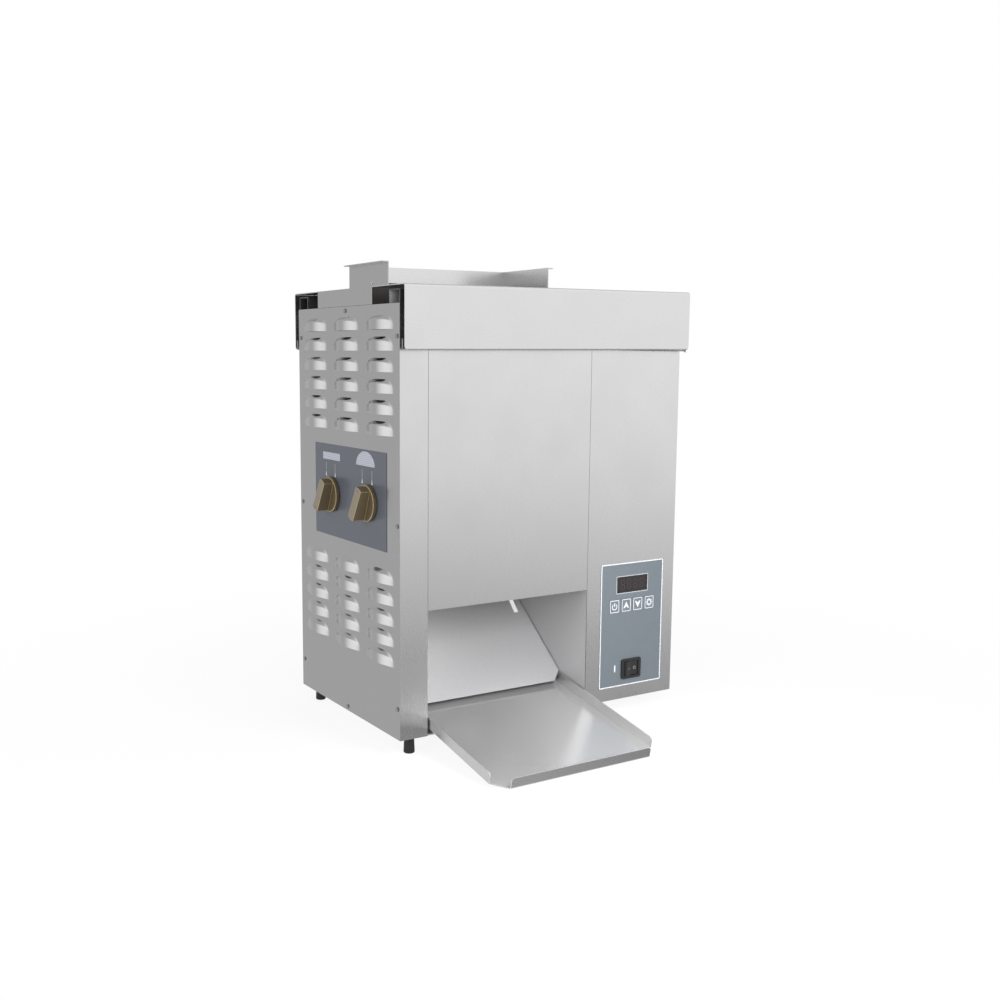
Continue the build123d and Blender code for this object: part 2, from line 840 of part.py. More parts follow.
# ---------------------------------------------------------------------------------------
# Conveyors
# ---------------------------------------------------------------------------------------
roller_x = (lane_left + roller_margin, opening_right - roller_margin)
belt_x = (lane_left + belt_margin, opening_right - belt_margin)
left_plate = (lane_left + carrier_gap, lane_left + carrier_gap + carrier_thickness)
right_plate = (opening_right - carrier_gap - carrier_thickness, opening_right - carrier_gap)
gear_x = (gear_left, gear_left + gear_width)
gear_reach = (right_wall[0], gear_x[1] + 2 * skin)
belt_reach = idler_height - drive_height
belt_middle = (idler_height + drive_height) / 2
tie_heights = (knob_height - tie_below_knob, knob_height + tie_above_knob, idler_height - tie_below_idler)
pressure_z = (drive_height + pressure_rise, idler_height - pressure_drop)
cam_low = cam_throw * math.cos(math.radians(cam_turn))
cam_slot_width = 2 * (cam_radius + cam_gap)
cam_slot_length = cam_slot_width + cam_throw - cam_low + 4 * cam_gap


def belt_outline(radius):
    """A long loop round both rollers, in the current sketch."""
    with Locations((0, belt_middle)):
        SlotCenterToCenter(belt_reach, 2 * radius, rotation=90)


def carrier_plate(axis, x, knob_back=None):
    """One side plate of a carrier. A knob's cam works in the left one."""
    with BuildSketch(side_plane(x[0], axis)) as outline:
        belt_outline(carrier_half_width)
        if knob_back is not None:
            with Locations((knob_back - axis, knob_height)):
                Circle(cam_slot_length / 2 + cam_pad)
        with Locations((0, drive_height)):
            Circle(bush_radius + running_gap, mode=Mode.SUBTRACT)
        with Locations((0, idler_height)):
            Circle(idler_shaft_radius + running_gap, mode=Mode.SUBTRACT)
        if knob_back is not None:
            with Locations((knob_back - axis, knob_height + (cam_throw + cam_low) / 2)):
                SlotOverall(cam_slot_length, cam_slot_width, rotation=90, mode=Mode.SUBTRACT)
    extrude(outline.sketch, amount=carrier_thickness)


def carrier(name, axis, knob_back, inward):
    """The welded frame that hangs a conveyor on its drive shaft and backs the belt's inner run."""
    face = inward * (roller_radius + belt_gap - pressure_gap)
    with BuildPart() as frame:
        carrier_plate(axis, left_plate, knob_back)
        carrier_plate(axis, right_plate)
        for z in tie_heights:
            rod_x((left_plate[1], right_plate[0]), axis, z, tie_radius)
        plate_y = sorted((axis + face, axis + face - inward * pressure_sheet))
        block(belt_x, plate_y, pressure_z)
        rib_y = sorted((axis + face - inward * pressure_sheet, axis))
        for i in range(rib_count):
            x = belt_x[0] + (belt_x[1] - belt_x[0]) * (i + 0.5) / rib_count
            block(centred(x, rib_sheet), rib_y, pressure_z)
    keep(frame, f"{name}_carrier")


def belt(name, axis):
    """A flat belt round both rollers."""
    with BuildPart() as loop:
        with BuildSketch(side_plane(belt_x[0], axis)):
            belt_outline(belt_radius)
            with Locations((0, belt_middle)):
                SlotCenterToCenter(
                    belt_reach, 2 * (roller_radius + belt_gap), rotation=90, mode=Mode.SUBTRACT
                )
        extrude(amount=belt_x[1] - belt_x[0])
    keep(loop, f"{name}_belt")


def rollers(name, axis):
    """The upper idler roller on its own shaft, and the lower one on the drive shaft."""
    with BuildPart() as idler:
        rod_x(roller_x, axis, idler_height, roller_radius)
        rod_x((left_plate[0] - skin, right_plate[1] + skin), axis, idler_height, idler_shaft_radius)
    keep(idler, f"{name}_idler_roller")
    with BuildPart() as drive:
        rod_x(roller_x, axis, drive_height, roller_radius)
        rod_x((left_wall[0] - bush_rim_thickness, gear_x[1] + skin), axis, drive_height, drive_shaft_radius)
    keep(drive, f"{name}_drive_roller")


def gear_outline(teeth, phase):
    """Straight-sided teeth on a root circle, in the current sketch."""
    pitch_radius = gear_module * teeth / 2
    root = pitch_radius - gear_root * gear_module
    tip = pitch_radius + gear_tip * gear_module
    middle = math.pi * gear_module / 4 - backlash / 2
    slope = math.tan(math.radians(pressure_angle))
    foot_half = middle + gear_root * gear_module * slope
    tip_half = middle - gear_tip * gear_module * slope
    sunk = root - gear_module / 2
    Circle(root)
    with PolarLocations(0, teeth, start_angle=phase):
        Polygon(
            (sunk, -foot_half),
            (root, -foot_half),
            (tip, -tip_half),
            (tip, tip_half),
            (root, foot_half),
            (sunk, foot_half),
            align=None,
        )


def drive_gear(name, axis, phase):
    """A conveyor's spur gear, with its hub towards the wall."""
    with BuildPart() as wheel:
        with BuildSketch(side_plane(gear_x[0], axis, drive_height)):
            gear_outline(gear_teeth, phase)
        extrude(amount=gear_width)
        rod_x((gear_x[0] - skin, gear_x[0]), axis, drive_height, hub_radius)
        rod_x(gear_reach, axis, drive_height, drive_shaft_radius + running_gap, mode=Mode.SUBTRACT)
    keep(wheel, name)


for side, axis, knob_back, inward in (
    ("crown", crown_axis, crown_knob_back, 1),
    ("heel", heel_axis, heel_knob_back, -1),
):
    carrier(side, axis, knob_back, inward)
    belt(side, axis)
    rollers(side, axis)
    drive_gear(f"{side}_drive_gear", axis, 0 if inward > 0 else 180 / gear_teeth)

with BuildPart() as shaft_bushes:
    for y in conveyor_axes:
        rod_x((left_wall[0], left_plate[1] + running_gap), y, drive_height, bush_radius)
        rod_x((left_wall[0] - bush_rim_thickness, left_wall[0]), y, drive_height, bush_radius + bush_rim)
        rod_x((right_plate[0] - running_gap, right_wall[1]), y, drive_height, bush_radius)
        rod_x((right_wall[1], right_wall[1] + bush_rim_thickness), y, drive_height, bush_radius + bush_rim)
        rod_x((0, cabinet_width), y, drive_height, drive_shaft_radius + running_gap, mode=Mode.SUBTRACT)
    for y in knob_places:
        rod_x(left_wall, y, knob_height, bush_outer)
        rod_x((left_wall[0] - bush_rim_thickness, left_wall[0]), y, knob_height, bush_outer + bush_rim)
        rod_x((0, 2 * post_width), y, knob_height, knob_shaft_radius + running_gap, mode=Mode.SUBTRACT)
keep(shaft_bushes, "shaft_bushes")

# ---------------------------------------------------------------------------------------
# Motor and its output
# ---------------------------------------------------------------------------------------
bracket_right = bracket_left + bracket_sheet
bracket_middle = pinion_height + bracket_rise
gearbox_right = bracket_right + gearbox_depth

with BuildPart() as motor_output:
    with BuildSketch(side_plane(gear_x[0], crown_axis, pinion_height)):
        gear_outline(pinion_teeth, 270 + 180 / pinion_teeth)
    extrude(amount=gear_width)
    rod_x((gear_x[0], bracket_right + motor_shaft_hold), crown_axis, pinion_height, motor_shaft_radius)
keep(motor_output, "motor_output")

with BuildPart() as motor_bracket:
    bracket_y = centred(crown_axis, 2 * bracket_half_width)
    bracket_z = centred(bracket_middle, 2 * bracket_half_height)
    block((bracket_left, bracket_right), bracket_y, bracket_z)
    for y in (bracket_y[0] + standoff_inset, bracket_y[1] - standoff_inset):
        for z in (bracket_z[0] + standoff_inset, bracket_z[1] - standoff_inset):
            rod_x((right_wall[1], bracket_left), y, z, standoff_radius)
    shaft_hole = motor_shaft_radius + skin
    rod_x((bracket_left - skin, gearbox_right), crown_axis, pinion_height, shaft_hole, mode=Mode.SUBTRACT)
keep(motor_bracket, "motor_bracket")

with BuildPart() as gear_motor:
    gearbox_y = centred(crown_axis, gearbox_size)
    block((bracket_right, gearbox_right), gearbox_y, centred(bracket_middle, gearbox_size))
    rod_x((gearbox_right, gearbox_right + motor_length), crown_axis, bracket_middle, motor_radius)
    bore_x = (bracket_left, bracket_right + motor_shaft_hold + skin)
    bore_radius = motor_shaft_radius + running_gap
    rod_x(bore_x, crown_axis, pinion_height, bore_radius, mode=Mode.SUBTRACT)
keep(gear_motor, "gear_motor")

# ---------------------------------------------------------------------------------------
# Spacing knobs and their cam shafts
# ---------------------------------------------------------------------------------------
knob_face = -knob_stand
skirt_back = -label_thickness - knob_gap
skirt_front = skirt_back - knob_skirt


def knob(name, y):
    """A round skirt with a grip bar across it, on a blind bore."""
    with BuildPart() as grip:
        with BuildSketch(side_plane(skirt_front, y, knob_height)):
            Circle(knob_skirt_radius)
        extrude(amount=knob_skirt)
        with BuildSketch(side_plane(knob_face, y, knob_height)):
            Circle(knob_grip_radius)
            Rectangle(knob_grip_width, 2 * knob_skirt_radius, rotation=knob_tilt, mode=Mode.INTERSECT)
        extrude(amount=skirt_front - knob_face)
        face_edges = grip.faces().sort_by(Axis.X)[0].edges()
        fillet(face_edges, radius=knob_edge)
        bore = (skirt_back - knob_shaft_hold - skin, 0)
        rod_x(bore, y, knob_height, knob_shaft_radius + running_gap, mode=Mode.SUBTRACT)
    keep(grip, name)


def cam_shaft(name, y):
    """A shaft from the knob to its carrier, with an eccentric disc in the carrier's slot."""
    disc_x = (left_plate[0] - cam_gap, left_plate[1] + cam_gap)
    with BuildPart() as shaft:
        rod_x((skirt_back - knob_shaft_hold, disc_x[1]), y, knob_height, knob_shaft_radius)
        rod_x(disc_x, y, knob_height + cam_throw, cam_radius)
    keep(shaft, name)


for side, y in (("crown", crown_knob_back), ("heel", heel_knob_back)):
    knob(f"{side}_knob", y)
    cam_shaft(f"{side}_cam_shaft", y)

with BuildPart() as knob_label:
    label_y = (crown_knob_back - label_front_margin, heel_knob_back + label_back_margin)
    label_z = (knob_height - label_low_margin, knob_height + label_high_margin)
    block((-label_thickness, 0), label_y, label_z)
    for y in knob_places:
        rod_x((-skin, skin), y, knob_height, knob_shaft_radius + skin, mode=Mode.SUBTRACT)
keep(knob_label, "knob_label")

# ---------------------------------------------------------------------------------------
# Control label, display, keys and board
# ---------------------------------------------------------------------------------------
with BuildPart() as control_label:
    block((control_left, control_right), (-label_thickness, 0), (control_bottom, control_top))
    control_cutouts((-skin, skin))
keep(control_label, "control_label")

window_back = display_depth - label_thickness

with BuildPart() as display_window:
    block(display_x, (-label_thickness, window_back), display_z)
keep(display_window, "display_window")

board_left = right_wall[1] + board_left_gap
board_right = cabinet_width - board_right_gap
board_back = board_gap + board_thickness
tact_front = board_gap - tact_height

with BuildPart() as control_board:
    block((board_left, board_right), (board_gap, board_back), (board_bottom, board_top))
    for x in (board_left + board_inset, board_right - board_inset):
        for z in (board_bottom + board_inset, board_top - board_inset):
            rod_y(x, (skin, board_gap), z, board_post_radius)
    block(display_x, (window_back + part_gap, board_gap), display_z)
    for x in key_middles():
        block(centred(x, tact_width), (tact_front, board_gap), centred(key_middle_height, tact_width))
    for i in range(relay_count):
        x = board_left + (board_right - board_left) * (i + 0.5) / relay_count
        relay_z = (board_bottom + board_inset, board_bottom + board_inset + relay_height)
        block(centred(x, relay_width), (board_back, board_back + relay_depth), relay_z)
keep(control_board, "control_board")

key_front = -label_thickness - key_proud
key_rim = (skin + running_gap, skin + running_gap + key_flange_thickness)

for name, x in zip(key_names, key_middles()):
    with BuildPart() as key:
        block(centred(x, key_width), (key_front, key_rim[0]), key_z)
        rim_z = centred(key_middle_height, key_height + 2 * key_flange)
        block(centred(x, key_width + 2 * key_flange), key_rim, rim_z)
        stem_y = (key_rim[1], tact_front - key_travel - running_gap)
        rod_y(x, stem_y, key_middle_height, key_stem_radius)
    keep(key, name)

# ---------------------------------------------------------------------------------------
# Rocker switch
# ---------------------------------------------------------------------------------------
bezel_y = (-label_thickness - rocker_bezel, -label_thickness)
rocker_pivot = skin / 2
pin_reach = rocker_body_height - 2 * rocker_gap

with BuildPart() as rocker_housing:
    bezel_z = centred(rocker_middle_height, rocker_height)
    block(centred(control_middle, rocker_width), bezel_y, bezel_z)
    block(rocker_x, (bezel_y[1], rocker_body_depth), rocker_z)
    pocket_z = centred(rocker_middle_height, rocker_window_height)
    pocket_y = (bezel_y[0] - skin, rocker_pocket)
    block(centred(control_middle, rocker_window), pocket_y, pocket_z, mode=Mode.SUBTRACT)
    pin_hole = rocker_pin_radius + running_gap
    rod_z(control_middle, rocker_pivot, rocker_z, pin_hole, mode=Mode.SUBTRACT)
keep(rocker_housing, "rocker_housing")

with BuildPart() as rocker_paddle:
    paddle_z = centred(rocker_middle_height, rocker_window_height - 2 * rocker_gap)
    paddle_plane = level_plane(paddle_z[0], control_middle, rocker_pivot).rotated((0, 0, rocker_tilt))
    paddle_radius = rocker_window / 2 - rocker_gap
    rise = paddle_radius * math.tan(math.radians(rocker_tilt))
    with BuildSketch(paddle_plane):
        Circle(paddle_radius)
        Polygon(
            (0, -rocker_face),
            (paddle_radius, -rocker_face - rise),
            (paddle_radius, rocker_back),
            (-paddle_radius, rocker_back),
            (-paddle_radius, -rocker_face - rise),
            align=None,
            mode=Mode.INTERSECT,
        )
    extrude(amount=paddle_z[1] - paddle_z[0])
    rod_z(control_middle, rocker_pivot, centred(rocker_middle_height, pin_reach), rocker_pin_radius)
keep(rocker_paddle, "rocker_paddle")

# ---------------------------------------------------------------------------------------
# Fan and power inlet
# ---------------------------------------------------------------------------------------
fan_front = inner_back - fan_depth
fan_plane = front_plane(inner_back - fan_depth / 2, compartment_middle, fan_height)

with BuildPart() as fan_frame:
    fan_x, fan_z = centred(compartment_middle, fan_size), centred(fan_height, fan_size)
    block(fan_x, (fan_front, inner_back), fan_z)
    rod_y(compartment_middle, (fan_front - skin, cabinet_depth), fan_height, fan_bore, mode=Mode.SUBTRACT)
    strut_y = (fan_front, fan_front + strut_thickness)
    block(fan_x, strut_y, centred(fan_height, strut_width))
    block(centred(compartment_middle, strut_width), strut_y, fan_z)
    rod_y(compartment_middle, strut_y, fan_height, fan_boss_radius)
    pin_y = (strut_y[1], strut_y[1] + fan_depth / 2)
    rod_y(compartment_middle, pin_y, fan_height, fan_pin_radius)
keep(fan_frame, "fan_frame")

with BuildPart() as fan_rotor:
    rotor_y = (strut_y[1] + fan_end_gap, inner_back - fan_tip_gap)
    blade_reach = fan_bore - fan_tip_gap
    with Locations(fan_plane):
        with PolarLocations(blade_reach / 2, fan_blades):
            Box(blade_reach, fan_blade_chord, fan_blade_sheet, rotation=(fan_blade_pitch, 0, 0))
        Cylinder(blade_reach, fan_depth, mode=Mode.INTERSECT)
    rod_y(compartment_middle, rotor_y, fan_height, fan_hub_radius)
    bore_y = (fan_front, pin_y[1] + running_gap)
    rod_y(compartment_middle, bore_y, fan_height, fan_pin_radius + running_gap, mode=Mode.SUBTRACT)
keep(fan_rotor, "fan_rotor")

with BuildPart() as fan_guard:
    eye_middle = fan_bore + guard_eye_radius + fan_tip_gap
    with BuildSketch(front_plane(cabinet_depth, compartment_middle, fan_height)):
        for i in range(guard_rings, 0, -1):
            ring_radius = fan_bore * i / guard_rings
            Circle(ring_radius + guard_wire)
            Circle(ring_radius - guard_wire, mode=Mode.SUBTRACT)
        with PolarLocations(eye_middle / 2, guard_rings, start_angle=45):
            Rectangle(eye_middle, 2 * guard_wire)
        with PolarLocations(eye_middle, guard_rings, start_angle=45):
            Circle(guard_eye_radius)
    extrude(amount=-2 * guard_wire)
keep(fan_guard, "fan_guard")

with BuildPart() as power_inlet:
    rim_y = (cabinet_depth, cabinet_depth + inlet_rim)
    cup_y = (rim_y[1] - inlet_cup_depth, rim_y[1] + skin)
    block(centred(compartment_middle, inlet_width), rim_y, centred(inlet_height, inlet_tall))
    block(inlet_body_x, (rim_y[1] - inlet_depth, rim_y[0]), inlet_body_z)
    cup_x = centred(compartment_middle, inlet_body_width - 2 * inlet_cup_wall)
    block(cup_x, cup_y, centred(inlet_height, inlet_body_tall - 2 * inlet_cup_wall), mode=Mode.SUBTRACT)
    for i in (-1, 0, 1):
        blade_x = centred(compartment_middle + i * blade_pitch, blade_thickness)
        blade_z = centred(inlet_height, blade_width)
        block(blade_x, (cup_y[0], rim_y[0]), blade_z)
keep(power_inlet, "power_inlet")

# ---------------------------------------------------------------------------------------
# Loose cap
# ---------------------------------------------------------------------------------------
cap_front = -cap_gap - skin
cap_back = cabinet_depth + cap_gap + skin
cap_right = cabinet_width + cap_overhang
slot_y = (slot_front - feeder_gap, slot_back + feeder_gap)

with BuildPart() as cap:
    half = skin / 2
    bend = cap_radius - half
    hem_bend = cap_hem_radius - half
    low = cap_top - cap_flange + half
    with BuildSketch(side_plane(0)):
        with BuildLine():
            FilletPolyline(
                (cap_front + cap_hem_depth + half, low + cap_hem_height),
                (cap_front + cap_hem_depth + half, low),
                (cap_front + half, low),
                (cap_front + half, cap_top - half),
                (cap_back - half, cap_top - half),
                (cap_back - half, low),
                (cap_back - cap_hem_depth - half, low),
                (cap_back - cap_hem_depth - half, low + cap_hem_height),
                radius=(hem_bend, hem_bend, bend, bend, hem_bend, hem_bend),
            )
        trace(line_width=skin)
    extrude(amount=cap_right)
    block((-skin, feeder_length), slot_y, (cabinet_height, cap_top + skin), mode=Mode.SUBTRACT)
    end_y = (cap_front + cap_radius, cap_back - cap_radius)
    block((cap_right - skin, cap_right), end_y, (cap_top - cap_end_depth, cap_top - half))
keep(cap, "cap")

# ---------------------------------------------------------------------------------------
# Feeder on the cap
# ---------------------------------------------------------------------------------------
guide_z = (cap_top + pad_gap, cap_top + guide_height)
lip_z = (guide_z[1] - feeder_sheet, guide_z[1])
guide_y = (guide_front, guide_back)

with BuildPart() as feeder_left_plate:
    block((0, feeder_sheet), guide_y, guide_z)
    block((0, feeder_sheet), (slot_front, slot_back), (cabinet_height + pad_gap, cap_top))
    block((0, feeder_sheet), (slot_front, guide_back), (cap_top - skin, guide_z[0]))
    block((-guide_lip, 0), guide_y, lip_z)
    relief_z = cap_top + 2 * guide_relief_radius
    rod_x((-skin, 2 * feeder_sheet), slot_front, relief_z, guide_relief_radius, mode=Mode.SUBTRACT)
keep(feeder_left_plate, "feeder_left_plate")

with BuildPart() as feeder_right_plate:
    inner_x = feeder_length
    block((inner_x, inner_x + feeder_sheet), guide_y, guide_z)
    block((inner_x, inner_x + guide_foot), guide_y, (guide_z[0], guide_z[0] + feeder_sheet))
    block((inner_x, inner_x + feeder_sheet + guide_lip), guide_y, lip_z)
keep(feeder_right_plate, "feeder_right_plate")

with BuildPart() as feeder_back_wall:
    back_y = (guide_back - feeder_sheet, guide_back)
    block((feeder_sheet, inner_x), back_y, (cabinet_height + 2 * skin, guide_z[1]))
keep(feeder_back_wall, "feeder_back_wall")
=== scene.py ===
# %% [markdown]
# # Dressing a bun toaster
# The toaster is a stainless steel cabinet that stands on a shop counter. Buns drop in at the
# top, run down past a hot plate and slide out onto a tray at the front. The frame that is
# loaded here is the measured machine: every part at its real size, hung on the body that it
# moves with. Blender's share is the finish, so the frame itself is never moved or reshaped.

# %% Load the frame
import json
import math

import bmesh
import bpy
from mathutils import Matrix, Vector

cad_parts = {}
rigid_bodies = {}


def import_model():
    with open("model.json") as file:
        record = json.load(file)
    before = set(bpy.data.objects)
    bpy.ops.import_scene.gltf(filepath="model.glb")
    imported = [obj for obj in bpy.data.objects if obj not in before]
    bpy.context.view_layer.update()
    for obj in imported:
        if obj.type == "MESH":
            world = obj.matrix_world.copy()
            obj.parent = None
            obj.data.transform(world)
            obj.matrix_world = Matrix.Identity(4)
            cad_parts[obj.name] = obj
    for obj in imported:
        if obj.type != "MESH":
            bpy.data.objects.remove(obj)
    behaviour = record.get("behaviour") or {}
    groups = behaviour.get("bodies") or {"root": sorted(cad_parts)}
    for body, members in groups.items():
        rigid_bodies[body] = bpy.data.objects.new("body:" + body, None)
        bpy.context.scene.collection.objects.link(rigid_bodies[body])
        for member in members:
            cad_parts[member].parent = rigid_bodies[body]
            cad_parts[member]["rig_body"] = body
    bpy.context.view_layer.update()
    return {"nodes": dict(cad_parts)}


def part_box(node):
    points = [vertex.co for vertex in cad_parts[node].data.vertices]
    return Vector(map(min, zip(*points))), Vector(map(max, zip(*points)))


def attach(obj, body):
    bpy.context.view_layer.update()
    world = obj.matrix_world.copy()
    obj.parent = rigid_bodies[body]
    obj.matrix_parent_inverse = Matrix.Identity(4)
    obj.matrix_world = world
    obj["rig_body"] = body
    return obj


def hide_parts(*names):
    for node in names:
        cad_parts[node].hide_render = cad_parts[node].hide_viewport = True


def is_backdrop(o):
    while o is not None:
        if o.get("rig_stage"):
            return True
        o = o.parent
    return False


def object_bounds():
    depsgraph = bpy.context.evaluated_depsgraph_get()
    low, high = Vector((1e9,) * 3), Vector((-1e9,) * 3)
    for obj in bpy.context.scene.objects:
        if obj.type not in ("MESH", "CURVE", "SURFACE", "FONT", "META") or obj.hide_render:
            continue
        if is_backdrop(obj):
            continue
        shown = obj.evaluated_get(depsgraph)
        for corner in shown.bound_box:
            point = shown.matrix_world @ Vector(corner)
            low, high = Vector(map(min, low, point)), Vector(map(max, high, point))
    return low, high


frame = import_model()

# %% [markdown]
# ## Measuring from one corner
# A maker measures a cabinet from one corner, in millimetres. Blender's unit is the metre, and
# the frame's origin is under the middle of the machine. One matrix takes a point from "so many
# millimetres right, back and up from the lower left front corner" to the frame's metres, and
# its inverse reads any part of the frame back in those millimetres.

# %% Millimetres from the cabinet's corner
MM = 0.001
SHEET = 1.0                # thickness of the outer sheets
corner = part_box("left_front_post")[0] - Vector((SHEET * MM, 0, 0))
to_metres = Matrix.Translation(corner) @ Matrix.Scale(MM, 4)
to_millimetres = to_metres.inverted()


def limits(node):
    """The (low, high) of a frame part along x, y and z, in millimetres from the corner."""
    low, high = (to_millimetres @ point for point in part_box(node))
    return tuple(zip(low, high))


def middle(pair):
    """Halfway between a low and a high limit."""
    return sum(pair) / 2


cabinet_depth = limits("left_side_panel")[1][1]
cabinet_height = limits("left_side_panel")[2][1]
cabinet_width = limits("control_fascia")[0][1] + SHEET
print("cabinet:", round(cabinet_width), "x", round(cabinet_depth), "x", round(cabinet_height, 1), "mm")

# %% [markdown]
# ## The camera
# The machine is looked at from the front left, a little from above, with a normal lens about
# 1.2 m away. A small sideways shift slides the picture without turning the camera, so the
# upright edges stay as they are.

# %% Camera
CAMERA_PLACE = (-606.7, -1072.8, 434.5)
CAMERA_PITCH = 82.515      # degrees up from looking straight down
CAMERA_YAW = -30.01
CAMERA_LENS = 41.12
CAMERA_SHIFT = 0.0898

camera = bpy.data.objects.new("camera", bpy.data.cameras.new("camera"))
camera.data.lens = CAMERA_LENS
camera.data.shift_x = CAMERA_SHIFT
camera.location = to_metres @ Vector(CAMERA_PLACE)
camera.rotation_euler = (math.radians(CAMERA_PITCH), 0, math.radians(CAMERA_YAW))
bpy.context.scene.collection.objects.link(camera)
bpy.context.scene.camera = camera
bpy.context.scene.view_settings.view_transform = "Standard"
print("camera at", [round(value, 3) for value in camera.location])

# %% [markdown]
# ## Colours and nodes
# Paint charts and screens give colours as sRGB hex values, but Blender's light sums need linear
# ones, so one function turns them. A material is a small tree of nodes, and every tree below is
# grown with the same one helper: it adds a node, sets its options and fills its sockets, with
# either a value or a link from another node.

# %% Colour and node helpers
def linear(hex_colour):
    """An sRGB hex colour such as "9C9C9C", as the linear colour that shaders need."""
    channels = (int(hex_colour[i:i + 2], 16) / 255 for i in (0, 2, 4))
    return tuple(c / 12.92 if c <= 0.04045 else ((c + 0.055) / 1.055) ** 2.4 for c in channels) + (1,)


def add(tree, kind, sockets=None, **options):
    """Adds a node. A socket is given a value, or another node's output to link from."""
    node = tree.nodes.new(kind)
    for name, value in options.items():
        setattr(node, name, value)
    for name, value in (sockets or {}).items():
        if isinstance(value, bpy.types.NodeSocket):
            tree.links.new(value, node.inputs[name])
        else:
            node.inputs[name].default_value = value
    return node


def empty_tree(owner):
    """The node tree of a material or a world, with nothing in it."""
    owner.use_nodes = True
    owner.node_tree.nodes.clear()
    return owner.node_tree


print("mid grey is", round(linear("808080")[0], 3), "in linear light")

# %% [markdown]
# ## The studio
# Bare steel has hardly any colour of its own: it shows what stands round it. A studio has
# large white boards on some sides and grey ones on others, and that is what gives each
# sheet its own tone. Here the world is those boards. In front there is a tall one that fades
# towards the floor, behind there is a grey one, and a brighter one stands on either side, where
# the swell of each louvre finds it. The camera itself sees plain white.

# %% Which way a ray looks
world = bpy.data.worlds.new("studio")
bpy.context.scene.world = world
tree = empty_tree(world)
direction = add(tree, "ShaderNodeTexCoord").outputs["Generated"]
axes = add(tree, "ShaderNodeSeparateXYZ", {"Vector": direction})
level_only = add(tree, "ShaderNodeVectorMath", {0: direction, 1: (1, 1, 0)}, operation="MULTIPLY")
heading = add(tree, "ShaderNodeVectorMath", {0: level_only.outputs[0]}, operation="NORMALIZE")
compass = add(tree, "ShaderNodeSeparateXYZ", {"Vector": heading.outputs[0]})
sideways = add(tree, "ShaderNodeMath", {0: compass.outputs["X"]}, operation="ABSOLUTE")
print("a ray's direction is split by", len(tree.nodes), "nodes")

# %% Boards round the machine
BACK_TONE = 0.60
SIDE_TONE = 0.90           # added at the sides
FLOOR_TONE = 0.75          # in front, seen straight down
# In front, from one height to another, the light changes by so much
FRONT_STEPS = ((-0.75, -0.5, -0.60), (-0.36, -0.06, 0.90))
# Each of these grows from nothing to its most as a direction goes from one value to another
FADES = {
    "in_front": (compass.outputs["Y"], 0.25, -0.25, 1.0),
    "not_left": (compass.outputs["X"], -0.05, 0.35, 1.0),
    "at_sides": (sideways.outputs[0], 0.50, 0.92, SIDE_TONE),
    "off_front": (compass.outputs["Y"], 0.05, 0.35, 1.0),
    "below_top": (axes.outputs["Z"], 0.70, -0.05, 1.0),
}

front_board = FLOOR_TONE
for low, high, change in FRONT_STEPS:
    step = add(tree, "ShaderNodeMapRange", {
        "Value": axes.outputs["Z"], "From Min": low, "From Max": high,
        "To Min": 0.0, "To Max": change}, interpolation_type="SMOOTHSTEP")
    total = add(tree, "ShaderNodeMath", {0: front_board, 1: step.outputs[0]}, operation="ADD")
    front_board = total.outputs[0]
fade = {}
for name, (value, nothing, full, most) in FADES.items():
    fade[name] = add(tree, "ShaderNodeMapRange", {
        "Value": value, "From Min": nothing, "From Max": full,
        "To Min": 0.0, "To Max": most}, interpolation_type="SMOOTHSTEP").outputs[0]
front_reach = add(tree, "ShaderNodeMath", {0: fade["in_front"], 1: fade["not_left"]}, operation="MULTIPLY")
side_reach = add(tree, "ShaderNodeMath", {0: fade["off_front"], 1: fade["below_top"]}, operation="MULTIPLY")
backdrop = add(tree, "ShaderNodeMix", {0: front_reach.outputs[0], 2: BACK_TONE, 3: front_board})
boards = add(tree, "ShaderNodeMath", {
    0: fade["at_sides"], 1: side_reach.outputs[0], 2: backdrop.outputs[0]}, operation="MULTIPLY_ADD")
lit = add(tree, "ShaderNodeBackground", {"Color": boards.outputs[0], "Strength": 1.0})
seen = add(tree, "ShaderNodeBackground", {"Color": (1, 1, 1, 1), "Strength": 1.0})
is_camera = add(tree, "ShaderNodeLightPath").outputs["Is Camera Ray"]
chosen = add(tree, "ShaderNodeMixShader", {0: is_camera, 1: lit.outputs[0], 2: seen.outputs[0]})
add(tree, "ShaderNodeOutputWorld", {"Surface": chosen.outputs[0]})
print("boards: back", BACK_TONE, "sides", SIDE_TONE, "front in", len(FRONT_STEPS), "steps")

# %% [markdown]
# ## The floor
# White paper under the machine is lit so evenly that it hardly shows a shadow, and a little
# way off it is as white as the wall. So the paper glows by itself, fully at a distance and a
# bit less near the machine, where the rest of its light is what the boards give it.

# %% White paper floor
FLOOR_RADIUS = 2.5
PAPER_GLOW = 0.86          # share of the paper's white that doesn't depend on shadows
GLOW_REACH = (0.3, 0.9)    # m from the middle, over which that share grows to all of it
bm = bmesh.new()
bmesh.ops.create_circle(bm, segments=96, radius=FLOOR_RADIUS, cap_ends=True)
floor_mesh = bpy.data.meshes.new("floor")
bm.to_mesh(floor_mesh)
bm.free()
floor = bpy.data.objects.new("floor", floor_mesh)
bpy.context.scene.collection.objects.link(floor)
floor.visible_glossy = False            # the boards, not the floor, are what the steel shows
floor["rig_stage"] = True
paper = bpy.data.materials.new("white_paper")
tree = empty_tree(paper)
place = add(tree, "ShaderNodeTexCoord").outputs["Object"]
away = add(tree, "ShaderNodeVectorMath", {0: place}, operation="LENGTH").outputs["Value"]
glow_share = add(tree, "ShaderNodeMapRange", {
    "Value": away, "From Min": GLOW_REACH[0], "From Max": GLOW_REACH[1],
    "To Min": PAPER_GLOW, "To Max": 1.0})
matt = add(tree, "ShaderNodeBsdfDiffuse", {"Color": linear("F8F8F8")})
